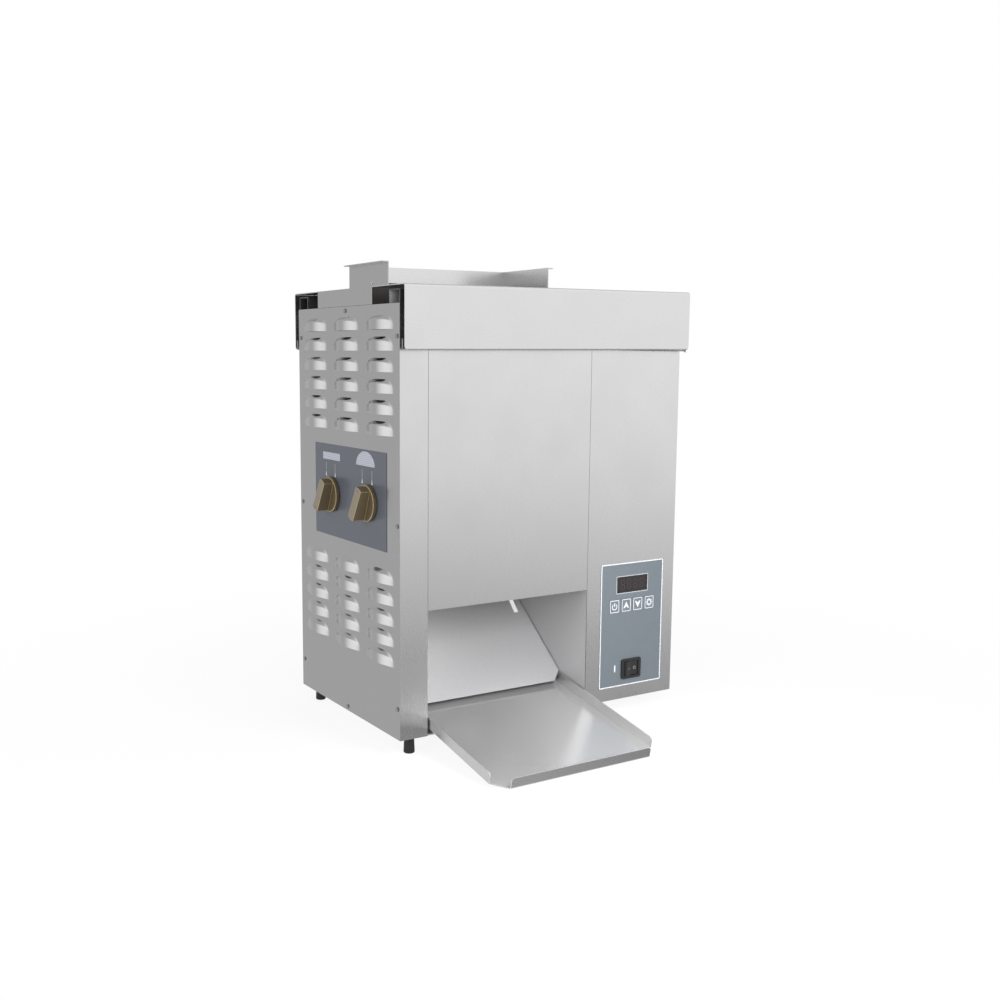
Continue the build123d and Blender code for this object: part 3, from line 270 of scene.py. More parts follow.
glow = add(tree, "ShaderNodeEmission", {"Color": (1, 1, 1, 1), "Strength": 1.0})
mixed = add(tree, "ShaderNodeMixShader", {0: glow_share.outputs[0], 1: matt.outputs[0], 2: glow.outputs[0]})
add(tree, "ShaderNodeOutputMaterial", {"Surface": mixed.outputs[0]})
floor_mesh.materials.append(paper)
print("floor disc of", FLOOR_RADIUS, "m")

# %% [markdown]
# ## Soft lights
# The boards do nearly all of the lighting. Two large soft lamps add a direction to it on
# plastic and print, a small one hidden behind the front panel lifts the top of the chute, and
# another hangs over the front of the tray. They are left out of reflections, so no lamp shows
# as a patch in the steel.

# %% Lamps
def soft_lamp(name, place, aim, size, power):
    """A square area light, placed and aimed in millimetres from the corner."""
    lamp = bpy.data.objects.new(name, bpy.data.lights.new(name, "AREA"))
    lamp.data.size = size
    lamp.data.energy = power
    lamp.visible_glossy = False
    lamp.visible_camera = False
    lamp.location = to_metres @ Vector(place)
    towards = (to_metres @ Vector(aim)) - lamp.location
    lamp.rotation_euler = towards.to_track_quat("-Z", "Y").to_euler()
    bpy.context.scene.collection.objects.link(lamp)


soft_lamp("left_lamp", (-2300, -500, 1000), (0, 100, 240), 1.2, 24)
soft_lamp("front_lamp", (-200, -2600, 330), (200, 0, 100), 1.6, 46)
soft_lamp("opening_lamp", (70, 24, 136), (70, 150, 112), 0.08, 0.06)
soft_lamp("tray_lamp", (160, -420, 330), (150, -210, 0), 0.2, 2.4)
print(len(bpy.data.lights), "lamps")

# %% [markdown]
# ## A worked surface
# Almost every finish on this machine is one story told with other numbers. There is a base
# colour, a grain of a real size left by rolling, brushing, moulding or casting, and the grain
# changes three things at once: the tone by a little, the shine by more, and the height by a
# few hundredths of a millimetre. A second, much larger pattern stands for handling and uneven
# polish. Object coordinates are in metres, so a grain in millimetres becomes a scale directly.

# %% Worked surface
HANDLING = 70.0            # mm across a patch of uneven polish
NOISE_SPAN = (0.6, 1.4)    # two noises added together seldom leave this span


def worked_surface(name, tone, metal, shine, grain, run, mottle, relief):
    """A material whose grain of a size in mm varies its tone, its roughness and its height.

    shine is the lowest and highest roughness, run stretches the grain along x, y and z, mottle
    is the share by which its tone varies, and relief is its height in mm.
    """
    material = bpy.data.materials.new(name)
    tree = empty_tree(material)
    place = add(tree, "ShaderNodeTexCoord").outputs["Object"]
    scale = [1 / (grain * MM * stretch) for stretch in run]
    laid = add(tree, "ShaderNodeMapping", {"Vector": place, "Scale": scale})
    fine = add(tree, "ShaderNodeTexNoise", {"Vector": laid.outputs[0], "Scale": 1.0, "Detail": 3.0})
    broad = add(tree, "ShaderNodeTexNoise", {"Vector": place, "Scale": 1 / (HANDLING * MM), "Detail": 2.0})
    both = add(tree, "ShaderNodeMath", {0: fine.outputs[0], 1: broad.outputs[0]}, operation="ADD")
    rough = add(tree, "ShaderNodeMapRange", {
        "Value": both.outputs[0], "From Min": NOISE_SPAN[0], "From Max": NOISE_SPAN[1],
        "To Min": shine[0], "To Max": shine[1]})
    base = linear(tone)
    dark = tuple(c * (1 - mottle) for c in base[:3]) + (1,)
    light = tuple(min(1, c * (1 + mottle)) for c in base[:3]) + (1,)
    colour = add(tree, "ShaderNodeMix", {0: fine.outputs[0], 6: dark, 7: light}, data_type="RGBA")
    bump = add(tree, "ShaderNodeBump", {"Height": fine.outputs[0], "Distance": relief * MM, "Strength": 1.0})
    shader = add(tree, "ShaderNodeBsdfPrincipled", {
        "Base Color": colour.outputs[2], "Roughness": rough.outputs[0],
        "Normal": bump.outputs[0], "Metallic": metal})
    add(tree, "ShaderNodeOutputMaterial", {"Surface": shader.outputs[0]})
    return material


# %% [markdown]
# ## The steels
# All the sheets are stainless steel, but each was finished in its own way. The outer sheets are
# satin: a fine upright grain and a soft mirror. The tray and the chute are mill finish, with a
# speckle like frosted glass that spreads a reflection wide. Zinc-plated brackets inside are
# bluer and duller.

# %% Steels
EVEN = (1, 1, 1)           # a grain as long as it is wide
UPRIGHT = (1, 1, 30)       # a brushed grain that runs up and down
# Satin stainless side sheets: clear enough that one louvre mirrors the lip of the next. They are a darker
# copy of the front's steel, as painted shade on the sides that face away from the light
shaded_side_steel = worked_surface("satin_stainless_side_painted_shade", "C0C0C0", 1.0, (0.15, 0.21), 0.5, UPRIGHT, 0.03, 0.002)
# Satin stainless front sheets: a paler, softer grain that blurs the room into one slow gradient
front_steel = worked_surface("satin_stainless_front", "DFDEDF", 1.0, (0.24, 0.33), 0.5, UPRIGHT, 0.03, 0.003)
# The cap is the same sheet with its grain running along it
cap_steel = worked_surface("satin_stainless_cap", "DEDDDE", 1.0, (0.24, 0.32), 0.5, (30, 30, 1), 0.03, 0.003)
# Tray, mill finish: a speckle near a millimetre across, drawn a little coarse so that it shows.
# Its skin scatters part of the light as paint would, so it is never as dark as a mirror
mill_steel = worked_surface("mill_finish_stainless", "E4E4E5", 0.72, (0.20, 0.26), 1.2, EVEN, 0.05, 0.001)
# Chute: the same sheet, bead blasted, so it spreads the light that comes in at the opening
blasted_steel = worked_surface("bead_blasted_stainless", "C8C8CA", 0.5, (0.42, 0.56), 1.3, EVEN, 0.16, 0.008)
# Inner walls: the same sheet as the outside, left dull
inner_steel = worked_surface("dull_stainless", "C9C9CA", 0.5, (0.42, 0.56), 1.3, EVEN, 0.16, 0.008)
# Guides, shields and the ridge inside: steel painted nearly black, as painted shade for the dark inside of
# the machine
interior_shade_steel = worked_surface("painted_shade_dark_steel", "504E4C", 0.8, (0.4, 0.6), 3.0, (1, 1, 2), 0.25, 0.01)
# The top frame: near-black zinc, as painted shade under the lid, and a bright steel for deburred edges, as
# painted highlights along them
shade_black_zinc = worked_surface("painted_shade_black_zinc", "4A4A4C", 0.7, (0.36, 0.5), 1.6, EVEN, 0.2, 0.008)
edge_highlight_steel = worked_surface("painted_edge_highlight_steel", "E4E4E3", 1.0, (0.3, 0.4), 0.6, EVEN, 0.05, 0.004)
# Zinc plate: a bluish dull metal with a spangled tone
zinc_steel = worked_surface("zinc_plated_steel", "A9ADB2", 1.0, (0.34, 0.5), 2.2, EVEN, 0.12, 0.006)
# Blackened screws: small dark heads that hardly shine
dark_screw_steel = worked_surface("blackened_screw_steel", "9A9C9E", 1.0, (0.35, 0.5), 0.4, EVEN, 0.1, 0.004)
# Turned steel shafts: fine rings and a bright line of light
turned_steel = worked_surface("turned_steel", "B8B8B6", 1.0, (0.18, 0.3), 0.3, (0.5, 1, 1), 0.05, 0.004)
# Cut gears: oiled steel, darker in the grain
gear_steel = worked_surface("oiled_gear_steel", "7C7A76", 1.0, (0.26, 0.42), 0.6, EVEN, 0.12, 0.01)
print("steels:", shaded_side_steel.name, front_steel.name, cap_steel.name, mill_steel.name)

# %% [markdown]
# ## Castings, rubber and plastic
# Away from the sheets, each material shows how it was made. Cast aluminium is grey with a
# sandy skin. Rubber feet are matt and nearly black. Moulded plastic has a faint leather of its
# mould and a soft highlight, because light glances off the clear top of it.

# %% Castings and plastics
# Cast aluminium platen: pale grey, sandy, with a weak blurred shine
cast_aluminium = worked_surface("cast_aluminium", "A7A8A8", 1.0, (0.38, 0.58), 1.4, EVEN, 0.14, 0.05)
# Sheathed heating rods: steel turned brown and blue-grey by heat
heater_steel = worked_surface("heat_tinted_steel", "6E6258", 1.0, (0.3, 0.5), 3.0, (2, 1, 1), 0.3, 0.01)
# Sintered bronze bushes: warm, porous and dull
sintered_bronze = worked_surface("sintered_bronze", "A07A45", 1.0, (0.4, 0.55), 0.5, EVEN, 0.15, 0.02)
# Hammered grey enamel on the motor: small dimples under a hard gloss
motor_enamel = worked_surface("hammered_enamel", "4A5258", 0.0, (0.3, 0.42), 1.6, EVEN, 0.1, 0.06)
# Moulded nitrile rubber feet: almost black, and they scatter what little light they return
black_rubber = worked_surface("moulded_rubber", "1C1C1D", 0.0, (0.6, 0.78), 0.7, EVEN, 0.2, 0.03)
# Glass-filled black nylon of the switch, fan and inlet: a fine spark texture and a soft gloss
black_nylon = worked_surface("black_nylon", "222122", 0.0, (0.3, 0.42), 0.5, EVEN, 0.15, 0.015)
# Bronze-pigmented nylon of the knobs: dark brown
knob_nylon = worked_surface("bronze_pigmented_nylon", "6A5E48", 0.5, (0.34, 0.46), 0.6, EVEN, 0.12, 0.012)
# The knobs' faces: the same warm hue, much paler, as painted light on the face that looks out
knob_face_painted_light = worked_surface("painted_light_knob_face", "837A6B", 0.35, (0.4, 0.5), 0.5, (1, 1, 14), 0.06, 0.005)
# Edges of the knobs: a pale gold, as painted highlights along them
knob_edge_highlight = worked_surface("painted_highlight_knob_edge", "C4B083", 0.7, (0.3, 0.4), 0.6, EVEN, 0.08, 0.004)
# Silicone belt: off-white and slightly grippy, with the weave of its core showing through
belt_silicone = worked_surface("silicone_belt", "B9B5AC", 0.0, (0.45, 0.6), 1.2, EVEN, 0.08, 0.05)
# Release sheet of coated glass cloth: brown, slick, with threads about 0.6 mm apart
release_cloth = worked_surface("coated_glass_cloth", "5B4127", 0.0, (0.28, 0.4), 0.6, (3, 1, 1), 0.14, 0.02)
print("castings and plastics done")

# %% [markdown]
# ## Films, inks and the window
# The plates round the knobs and the keys are polyester film, printed on the back, so their
# colour sits under a smooth clear face. The white lines are opaque ink. The display sits
# behind a smoked acrylic window that is almost black until its digits light.

# %% Films and inks
# Printed polyester film: an even slate colour under a slightly pebbled clear face
knob_film = worked_surface("slate_polyester_film", "50545C", 0.0, (0.2, 0.28), 0.4, EVEN, 0.02, 0.002)
control_film = worked_surface("blue_grey_polyester_film", "60676D", 0.0, (0.24, 0.32), 0.4, EVEN, 0.02, 0.002)
# Keys are the same film, pressed up a little, and rubbed smooth by fingers
key_film = worked_surface("pressed_key_film", "636A70", 0.0, (0.2, 0.3), 0.4, EVEN, 0.03, 0.003)
# Opaque white screen ink, a touch uneven at its edges
white_ink = worked_surface("white_screen_ink", "C6C9CE", 0.0, (0.4, 0.5), 0.3, EVEN, 0.03, 0.004)
# Thinner ink, through which the film shows: for the scale lines by the knobs
pale_ink = worked_surface("thin_screen_ink", "A6A9B0", 0.0, (0.4, 0.5), 0.4, EVEN, 0.1, 0.003)
# The pictograms' ink: a cool white, a little uneven
pictogram_ink = worked_surface(
    "cool_white_screen_ink", "ABADB7", 0.0, (0.4, 0.5), 1.1, (1, 3, 1), 0.12, 0.003)
# The fine lines over the pictograms, in the same ink laid thinly
hatching_ink = worked_surface("thin_hatching_ink", "8C909E", 0.0, (0.4, 0.5), 0.5, EVEN, 0.15, 0.003)
# Grey pad print on the switch, dulled by fingers
grey_ink = worked_surface("grey_pad_print", "757478", 0.0, (0.4, 0.5), 0.3, EVEN, 0.08, 0.003)
# Smoked acrylic: deep brown-black and glossy
smoked_acrylic = worked_surface("smoked_acrylic", "231F21", 0.0, (0.08, 0.13), 1.5, EVEN, 0.1, 0.001)
# Unlit digit bars: only just paler than the window in front of them
unlit_digits = worked_surface("unlit_digit_bars", "352F32", 0.0, (0.3, 0.4), 0.5, EVEN, 0.05, 0.002)
# Glass-fibre circuit board under green lacquer
board_lacquer = worked_surface("green_board_lacquer", "1F4A32", 0.0, (0.22, 0.34), 0.8, EVEN, 0.2, 0.02)
print("films and inks done")

# %% [markdown]
# ## From a loose shape to a finished piece
# Every new piece is shaped in millimetres from the corner and finished the same way. Its faces
# are turned outwards and shaded smooth except across real corners, it is brought to metres, it
# gets its finishes, it is hung on the body that carries it, and the plain frame parts that it
# stands for are hidden.

# %% Finishing a piece
LEVEL_RATIO = 6            # a face this much larger than its neighbour is shaded flat
LEVEL_TURN = 0.02          # radians, and less than this is no bend at all
CORNER_TURN = math.radians(32)          # more than this is a real corner


def crisp(edge, level):
    """True where the shading breaks: at a real corner, and where a large flat face ends."""
    if not edge.is_manifold:
        return True
    turn = edge.calc_face_angle(0)
    small, large = sorted(face.calc_area() for face in edge.link_faces)
    return turn > CORNER_TURN or (level and turn > LEVEL_TURN and large > LEVEL_RATIO * small)


def show(name, bm, materials, body="cabinet", stands_for=(), level=True):
    """Makes a bmesh a finished piece that rides on a body of the frame."""
    bmesh.ops.recalc_face_normals(bm, faces=bm.faces)
    for face in bm.faces:
        face.smooth = True
    for edge in bm.edges:
        edge.smooth = not crisp(edge, level)
    mesh = bpy.data.meshes.new(name)
    bm.to_mesh(mesh)
    bm.free()
    mesh.transform(to_metres)
    for material in materials:
        mesh.materials.append(material)
    piece = bpy.data.objects.new(name, mesh)
    bpy.context.scene.collection.objects.link(piece)
    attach(piece, body)
    if stands_for:
        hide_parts(*stands_for)
    print(name, "has", len(mesh.polygons), "faces")
    return piece


def soften(bm, width, segments=2, angle=30):
    """Bevels every corner that turns by more than an angle, as deburring does."""
    corners = [e for e in bm.edges if e.is_manifold and e.calc_face_angle(0) > math.radians(angle)]
    return bmesh.ops.bevel(bm, geom=corners, offset=width, segments=segments, affect="EDGES",
                           profile=0.5, material=-1, clamp_overlap=True)["faces"]


def copied(node):
    """A frame part as clean joined faces, in millimetres from the corner."""
    bm = bmesh.new()
    bm.from_mesh(frame["nodes"][node].data)
    bmesh.ops.transform(bm, matrix=to_millimetres, verts=bm.verts)
    bmesh.ops.remove_doubles(bm, verts=bm.verts, dist=0.002)
    bmesh.ops.dissolve_limit(bm, angle_limit=math.radians(1), verts=bm.verts, edges=bm.edges)
    return bm


def dress(node, material, width=0.3, segments=2, edge_material=None):
    """Stands a deburred copy in for a frame part whose shape is already right."""
    bm = copied(node)
    rounded = soften(bm, width, segments)
    materials = [material]
    if edge_material:
        materials.append(edge_material)
        for face in rounded:
            face.material_index = 1
    body = frame["nodes"][node]["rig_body"]
    return show(node + "_finished", bm, materials, body, [node])


print("helpers ready")

# %% [markdown]
# ## Flat outlines that face a side
# Prints are flat shapes that look left or forward. They are drawn on a small board of their own
# and a turn stands that board up against the machine: x to the viewer's right, y up and z
# towards the viewer. A rounded plate is a circle whose quarters are pushed apart, and a frame is
# a plate whose face is inset and taken out.

# %% Boards and plates
TURNS = {
    "left": Matrix(((0, 0, -1, 0), (-1, 0, 0, 0), (0, 1, 0, 0), (0, 0, 0, 1))),
    "front": Matrix(((1, 0, 0, 0), (0, 0, -1, 0), (0, 1, 0, 0), (0, 0, 0, 1))),
}


def board(side, x, y, z):
    """The matrix of a drawing board that faces a side, with its middle at x, y, z."""
    return Matrix.Translation((x, y, z)) @ TURNS[side]


def plate(bm, where, width, height, radius, steps=4):
    """One flat face with round corners on a board."""
    half_step = math.pi / (4 * steps)
    made = bmesh.ops.create_circle(bm, segments=4 * steps, radius=radius / math.cos(half_step), cap_ends=True)
    bmesh.ops.rotate(bm, verts=made["verts"], matrix=Matrix.Rotation(half_step, 3, "Z"))
    for vert in made["verts"]:
        vert.co.x += math.copysign(width / 2 - radius, vert.co.x)
        vert.co.y += math.copysign(height / 2 - radius, vert.co.y)
    bmesh.ops.transform(bm, matrix=where, verts=made["verts"])
    return made["verts"][0].link_faces[0]


def outline(bm, where, width, height, radius, line):
    """A frame of a line's width, inside a rounded plate's edge."""
    face = plate(bm, where, width, height, radius)
    bmesh.ops.inset_region(bm, faces=[face], thickness=line, use_boundary=True, use_even_offset=True)
    bmesh.ops.delete(bm, geom=[face], context="FACES")


def drawn(bm, where, points):
    """One flat face from a few points on a board."""
    face = bm.faces.new([bm.verts.new((x, y, 0)) for x, y in points])
    bmesh.ops.transform(bm, matrix=where, verts=face.verts)
    return face


def bar(bm, where, x, y, width, height):
    """A small upright rectangle on a board, with its middle at x, y."""
    return drawn(bm, where, [
        (x - width / 2, y - height / 2), (x + width / 2, y - height / 2),
        (x + width / 2, y + height / 2), (x - width / 2, y + height / 2)])


def ring(bm, where, x, y, radius, line, start=0.0, turn=360.0, steps=32):
    """A flat ring, or part of one, on a board."""
    verts = [bm.verts.new((x + radius - line / 2, y, 0)), bm.verts.new((x + radius + line / 2, y, 0))]
    edge = bm.edges.new(verts)
    bmesh.ops.rotate(bm, cent=(x, y, 0), matrix=Matrix.Rotation(math.radians(start), 3, "Z"), verts=verts)
    before = set(bm.verts) - set(verts)
    bmesh.ops.spin(bm, geom=verts + [edge], cent=(x, y, 0), axis=(0, 0, 1), angle=math.radians(turn),
                   steps=steps, use_merge=turn == 360)
    made = [vert for vert in bm.verts if vert not in before]
    bmesh.ops.transform(bm, matrix=where, verts=made)


def thicken(bm, depth):
    """Gives every face a back, that far behind it."""
    bmesh.ops.solidify(bm, geom=bm.faces[:], thickness=depth)


print("boards face", ", ".join(TURNS))

# %% [markdown]
# ## The louvred sides
# A press cuts a slit and pushes the metal above it outwards into a long blister, open below, so
# warm air can leave and drips cannot enter. Because it is stretched from one flat sheet, the
# blister swells like a pillow towards its middle and blends into the sheet all round its top,
# and only its lower lip is cut. So the sheet is modelled as a grid with more lines where it
# bends. The slits are split open, and each point above a slit moves out. How far depends on
# two curves: along the slit the lip swells like a bell, from nothing at its ends to most in
# its middle, and over it the metal stands nearly upright before it slopes back to the sheet.
# The join at its foot is rounded before the sheet gets its thickness.

# %% Louvre shape
LOUVRE_LENGTH, LOUVRE_HEIGHT, LOUVRE_DEPTH = 67.0, 15.5, 5.5
LOUVRE_MARGIN = 13.5       # from the outer columns to the sheet's upright edges
LOUVRE_ROW_PITCH = 23.3
UPPER_ROWS, LOWER_ROWS = 6, 5
UPPER_DROP, LOWER_TOP = 27.5, 174.2     # highest slit under the top, and of the lower block
HALF_LENGTH = LOUVRE_LENGTH / 2
CORNER_LENGTH = 21.0       # at each end the top curves down to the slit over this length
STRAIGHT = HALF_LENGTH - CORNER_LENGTH  # the top runs level this far from the middle
BELL = 1.7                 # at 0.5 the lip would be half an ellipse, and more thins its ends
SHOULDER = 4.0             # at its top a blister falls back in a straight slope this high
SHOULDER_SLOPE = 1.3
FLANK = LOUVRE_HEIGHT - SHOULDER        # below the slope it steepens slowly from an upright lip
CURL = 3                   # how late the flank starts to lean
PROFILE_FALL = SHOULDER_SLOPE * (SHOULDER + FLANK / (CURL + 1))
BLEND = 0.15               # half the height over which a blister rounds into the sheet

column_pitch = (cabinet_depth - 2 * LOUVRE_MARGIN - LOUVRE_LENGTH) / 2
louvre_columns = [cabinet_depth / 2 + i * column_pitch for i in (-1, 0, 1)]
louvre_rows = [cabinet_height - UPPER_DROP - i * LOUVRE_ROW_PITCH for i in range(UPPER_ROWS)]
louvre_rows += [LOWER_TOP - i * LOUVRE_ROW_PITCH for i in range(LOWER_ROWS)]


def bow(distance):
    """How far the lip stands out, at a distance along the slit from its middle."""
    return LOUVRE_DEPTH * max(0.0, 1 - (distance / HALF_LENGTH) ** 2) ** BELL


def profile(height):
    """How far the middle of a blister stands out, at a height over the slit."""
    over_flank = max(0.0, height - FLANK)
    up_flank = min(height, FLANK)
    fall = SHOULDER_SLOPE * (over_flank + up_flank * (up_flank / FLANK) ** CURL / (CURL + 1))
    return min(LOUVRE_DEPTH, PROFILE_FALL - fall)


def blister(y, z):
    """How far the sheet stands out at a point, in mm."""
    slit = max((row for row in louvre_rows if row <= z + 0.01), default=None)
    if slit is None:
        return 0.0
    along = min(abs(y - column) for column in louvre_columns)
    past_straight = max(0.0, along - STRAIGHT) / CORNER_LENGTH
    top = LOUVRE_HEIGHT * math.sqrt(max(0.0, 1 - past_straight**2))
    if top < 0.01:
        return 0.0
    share = (z - slit) / top
    rise = bow(along) * profile(share * LOUVRE_HEIGHT) / LOUVRE_DEPTH
    if rise >= BLEND:
        return rise
    return max(0.0, rise + BLEND) ** 2 / (4 * BLEND)


depth = blister(louvre_columns[0], louvre_rows[0])
print(len(louvre_rows) * len(louvre_columns), "louvres a side, each", round(depth, 1), "mm deep")

# %% [markdown]
# ## Cutting and swelling a side
# The grid's lines lie close together where a blister bends and far apart where the sheet is
# flat, so no face is wasted. Both sides are the same sheet, but only the left one has holes, for
# the shafts of the knobs. Their faces carry the side steel's painted shade, and the cut front
# edge of each takes the front's steel without it.

# %% Lines of the grid
ACROSS = (0, 3, 6, 9, 12, 15, 18, 21, 24, 26.8, 29.2, 31.4, 33.5, 35.2)
UPWARDS = (0, 2.8, 5.2, 6.8, 8, 8.9, 9.6, 10.2, 10.8, 11.5, 12.6, 13.8, 14.7, 15.2, 15.5, 15.8, 16.2, 17)
SHAFT_HOLE = 6.0           # half the hole for a knob's shaft, behind its plate
knob_places = [(middle(limits(node)[1]), middle(limits(node)[2])) for node in ("crown_knob", "heel_knob")]


def grid_lines(size, anchors, offsets, holes):
    """Sorted places of grid lines along one side of a sheet."""
    lines = {0.0, size} | {round(a + o, 3) for a in anchors for o in offsets}
    lines |= {round(hole + side * SHAFT_HOLE, 3) for hole in holes for side in (-1, 1)}
    return sorted(lines)


def near(value, places, reach=0.01):
    """True for a value that lies within a reach of one of some places."""
    return any(abs(value - place) < reach for place in places)


print("a louvre has", len(UPWARDS), "lines up its height and", len(ACROSS), "along half its length")


# %% Louvred sheets
def louvred_sheet(name, node, outer_x, outward, holes):
    """One side of the cabinet. outward is -1 on the left and 1 on the right."""
    both_ways = sorted({side * offset for offset in ACROSS for side in (-1, 1)})
    y_lines = grid_lines(cabinet_depth, louvre_columns, both_ways, [y for y, z in holes])
    z_lines = grid_lines(cabinet_height, louvre_rows, UPWARDS, [z for y, z in holes])
    bm = bmesh.new()
    bmesh.ops.create_grid(bm, x_segments=len(y_lines) - 1, y_segments=len(z_lines) - 1, size=0.5)
    for vert in bm.verts:
        column = round((vert.co.x + 0.5) * (len(y_lines) - 1))
        row = round((vert.co.y + 0.5) * (len(z_lines) - 1))
        vert.co = (outer_x, y_lines[column], z_lines[row])
    slits = []
    for edge in bm.edges:
        (y0, z0), (y1, z1) = ((vert.co.y, vert.co.z) for vert in edge.verts)
        on_slit = z0 == z1 and near(z0, louvre_rows)
        if on_slit and near((y0 + y1) / 2, louvre_columns, ACROSS[-1]):
            slits.append(edge)
    bmesh.ops.split_edges(bm, edges=slits)
    for vert in bm.verts:
        above = all(face.calc_center_median().z > vert.co.z for face in vert.link_faces)
        if above or not near(vert.co.z, louvre_rows):
            vert.co.x += outward * blister(vert.co.y, vert.co.z)
    cut = []
    for face in bm.faces:
        spot = face.calc_center_median()
        if any(abs(spot.y - y) < SHAFT_HOLE and abs(spot.z - z) < SHAFT_HOLE for y, z in holes):
            cut.append(face)
    bmesh.ops.delete(bm, geom=cut, context="FACES")
    bmesh.ops.recalc_face_normals(bm, faces=bm.faces)
    bm.faces.ensure_lookup_table()
    if bm.faces[0].normal.x * outward < 0:
        bmesh.ops.reverse_faces(bm, faces=bm.faces)
    thicken(bm, SHEET)
    # The side's faces carry the painted shade of the side steel; its front edge, in the face of the post,
    # gets the front's steel without it
    for face in bm.faces:
        if face.calc_center_median().y < 0.01:      # its front edge lies in the face of the post
            face.material_index = 1
    return show(name, bm, [shaded_side_steel, front_steel], "cabinet", [node], level=False)


louvred_sheet("left_louvred_sheet", "left_side_panel", 0.0, -1, knob_places)
louvred_sheet("right_louvred_sheet", "right_side_panel", cabinet_width, 1, [])

# %% [markdown]
# ## Lines with bends
# A folded sheet is a line seen end on. The line has straight runs and, where the brake pressed
# it, round bends. One function writes that line, and another draws it through a row of stations
# and leaves the outer skin of the sheet.

# %% Bent lines and drawn skins
def bent_line(corners, radii, steps=5):
    """A line of straight runs with a round bend of its own radius at each inner corner."""
    line = [Vector(corners[0])]
    for before, point, after, radius in zip(corners, corners[1:], corners[2:], radii):
        before, point, after = Vector(before), Vector(point), Vector(after)
        if radius == 0:
            line.append(point)
            continue
        into, out = (point - before).normalized(), (after - point).normalized()
        turn = math.atan2(into.x * out.y - into.y * out.x, into.dot(out))
        side = Vector((-into.y, into.x)) * math.copysign(1, turn)
        start = point - into * radius * math.tan(abs(turn) / 2)
        for i in range(steps + 1):
            line.append(start + side * radius - Matrix.Rotation(turn * i / steps, 2) @ side * radius)
    line.append(Vector(corners[-1]))
    return line


def drawn_skin(bm, line, stations, place):
    """Draws a line through stations. place turns (a, b, station) into a point."""
    verts = [bm.verts.new(place(a, b, stations[0])) for a, b in line]
    edges = [bm.edges.new(pair) for pair in zip(verts, verts[1:])]
    for before, station in zip(stations, stations[1:]):
        made = bmesh.ops.extrude_edge_only(bm, edges=edges)["geom"]
        moved = [part for part in made if isinstance(part, bmesh.types.BMVert)]
        step = Vector(place(0, 0, station)) - Vector(place(0, 0, before))
        bmesh.ops.translate(bm, verts=moved, vec=step)
        edges = [part for part in made if isinstance(part, bmesh.types.BMEdge)
                 and all(vert in moved for vert in part.verts)]


def face_towards(bm, pick, direction):
    """Turns a whole skin so that the face that pick chooses looks in a direction."""
    bmesh.ops.recalc_face_normals(bm, faces=bm.faces)
    chosen = min(bm.faces, key=lambda face: pick(face.calc_center_median()))
    if chosen.normal.dot(Vector(direction)) < 0:
        bmesh.ops.reverse_faces(bm, faces=bm.faces)


print(len(bent_line([(0, 0), (10, 0), (10, 10)], [2])), "points on a line with one bend")

# %% [markdown]
# ## The cap
# The lid is an upside-down tray that simply rests on the cabinet. Its long edges are hemmed,
# which means folded back on themselves, so no raw edge can cut a hand. It is drawn as one bent
# line from hem to hem. The feed opening is left out of the skin, the lower corners of the
# flanges are rounded by sliding their end points along a quarter circle, and the right end is
# spun down over a bend.

# %% Cap
CAP_BEND, HEM_BEND = 3.0, 1.5
HEM_DEPTH, HEM_HEIGHT = 6.0, 12.0
OPENING_SETBACK = 36.5     # the feed opening starts this far behind the feeder's front
OPENING_BACK = 202.6       # and ends this far behind the cabinet's face
cap_x, cap_y, cap_z = limits("cap")
feeder_right = limits("feeder_right_plate")[0][0]
opening_y = (limits("feeder_left_plate")[1][0] + OPENING_SETBACK, OPENING_BACK)

inner_y = (cap_y[0] + HEM_DEPTH, cap_y[1] - HEM_DEPTH)
hem_top = cap_z[0] + HEM_HEIGHT
line = bent_line(
    [(inner_y[0], hem_top), (inner_y[0], cap_z[0]), (cap_y[0], cap_z[0]), (cap_y[0], cap_z[1]),
     (opening_y[0], cap_z[1]), (opening_y[1], cap_z[1]),
     (cap_y[1], cap_z[1]), (cap_y[1], cap_z[0]), (inner_y[1], cap_z[0]), (inner_y[1], hem_top)],
    [HEM_BEND, HEM_BEND, CAP_BEND, 0, 0, CAP_BEND, HEM_BEND, HEM_BEND])
bend_start = cap_x[1] - CAP_BEND
bm = bmesh.new()
drawn_skin(bm, line, [cap_x[0], feeder_right, bend_start, cap_x[1]], lambda a, b, s: (s, a, b))
top_faces = [face for face in bm.faces if face.calc_center_median().z > cap_z[1] - 0.01]
gone = []
for face in top_faces:
    spot = face.calc_center_median()
    if spot.x > bend_start or (spot.x < feeder_right and opening_y[0] < spot.y < opening_y[1]):
        gone.append(face)
bmesh.ops.delete(bm, geom=gone, context="FACES")
print("the cap's skin has", len(bm.faces), "faces round its opening")

# %% Right end of the cap
CAP_END_DEPTH = 30.0
rim = [edge for edge in bm.edges if edge.is_boundary
       and all(vert.co.z > cap_z[1] - 0.01 and abs(vert.co.x - bend_start) < 0.01 for vert in edge.verts)]
spun = bmesh.ops.spin(bm, geom=rim, cent=(bend_start, 0, cap_z[1] - CAP_BEND), axis=(0, 1, 0),
                      angle=math.pi / 2, steps=5)["geom_last"]
last = [part for part in spun if isinstance(part, bmesh.types.BMEdge)]
fallen = bmesh.ops.extrude_edge_only(bm, edges=last)["geom"]
bmesh.ops.translate(bm, verts=[part for part in fallen if isinstance(part, bmesh.types.BMVert)],
                    vec=(0, 0, CAP_BEND - CAP_END_DEPTH))
print("its right end hangs", CAP_END_DEPTH, "mm down")

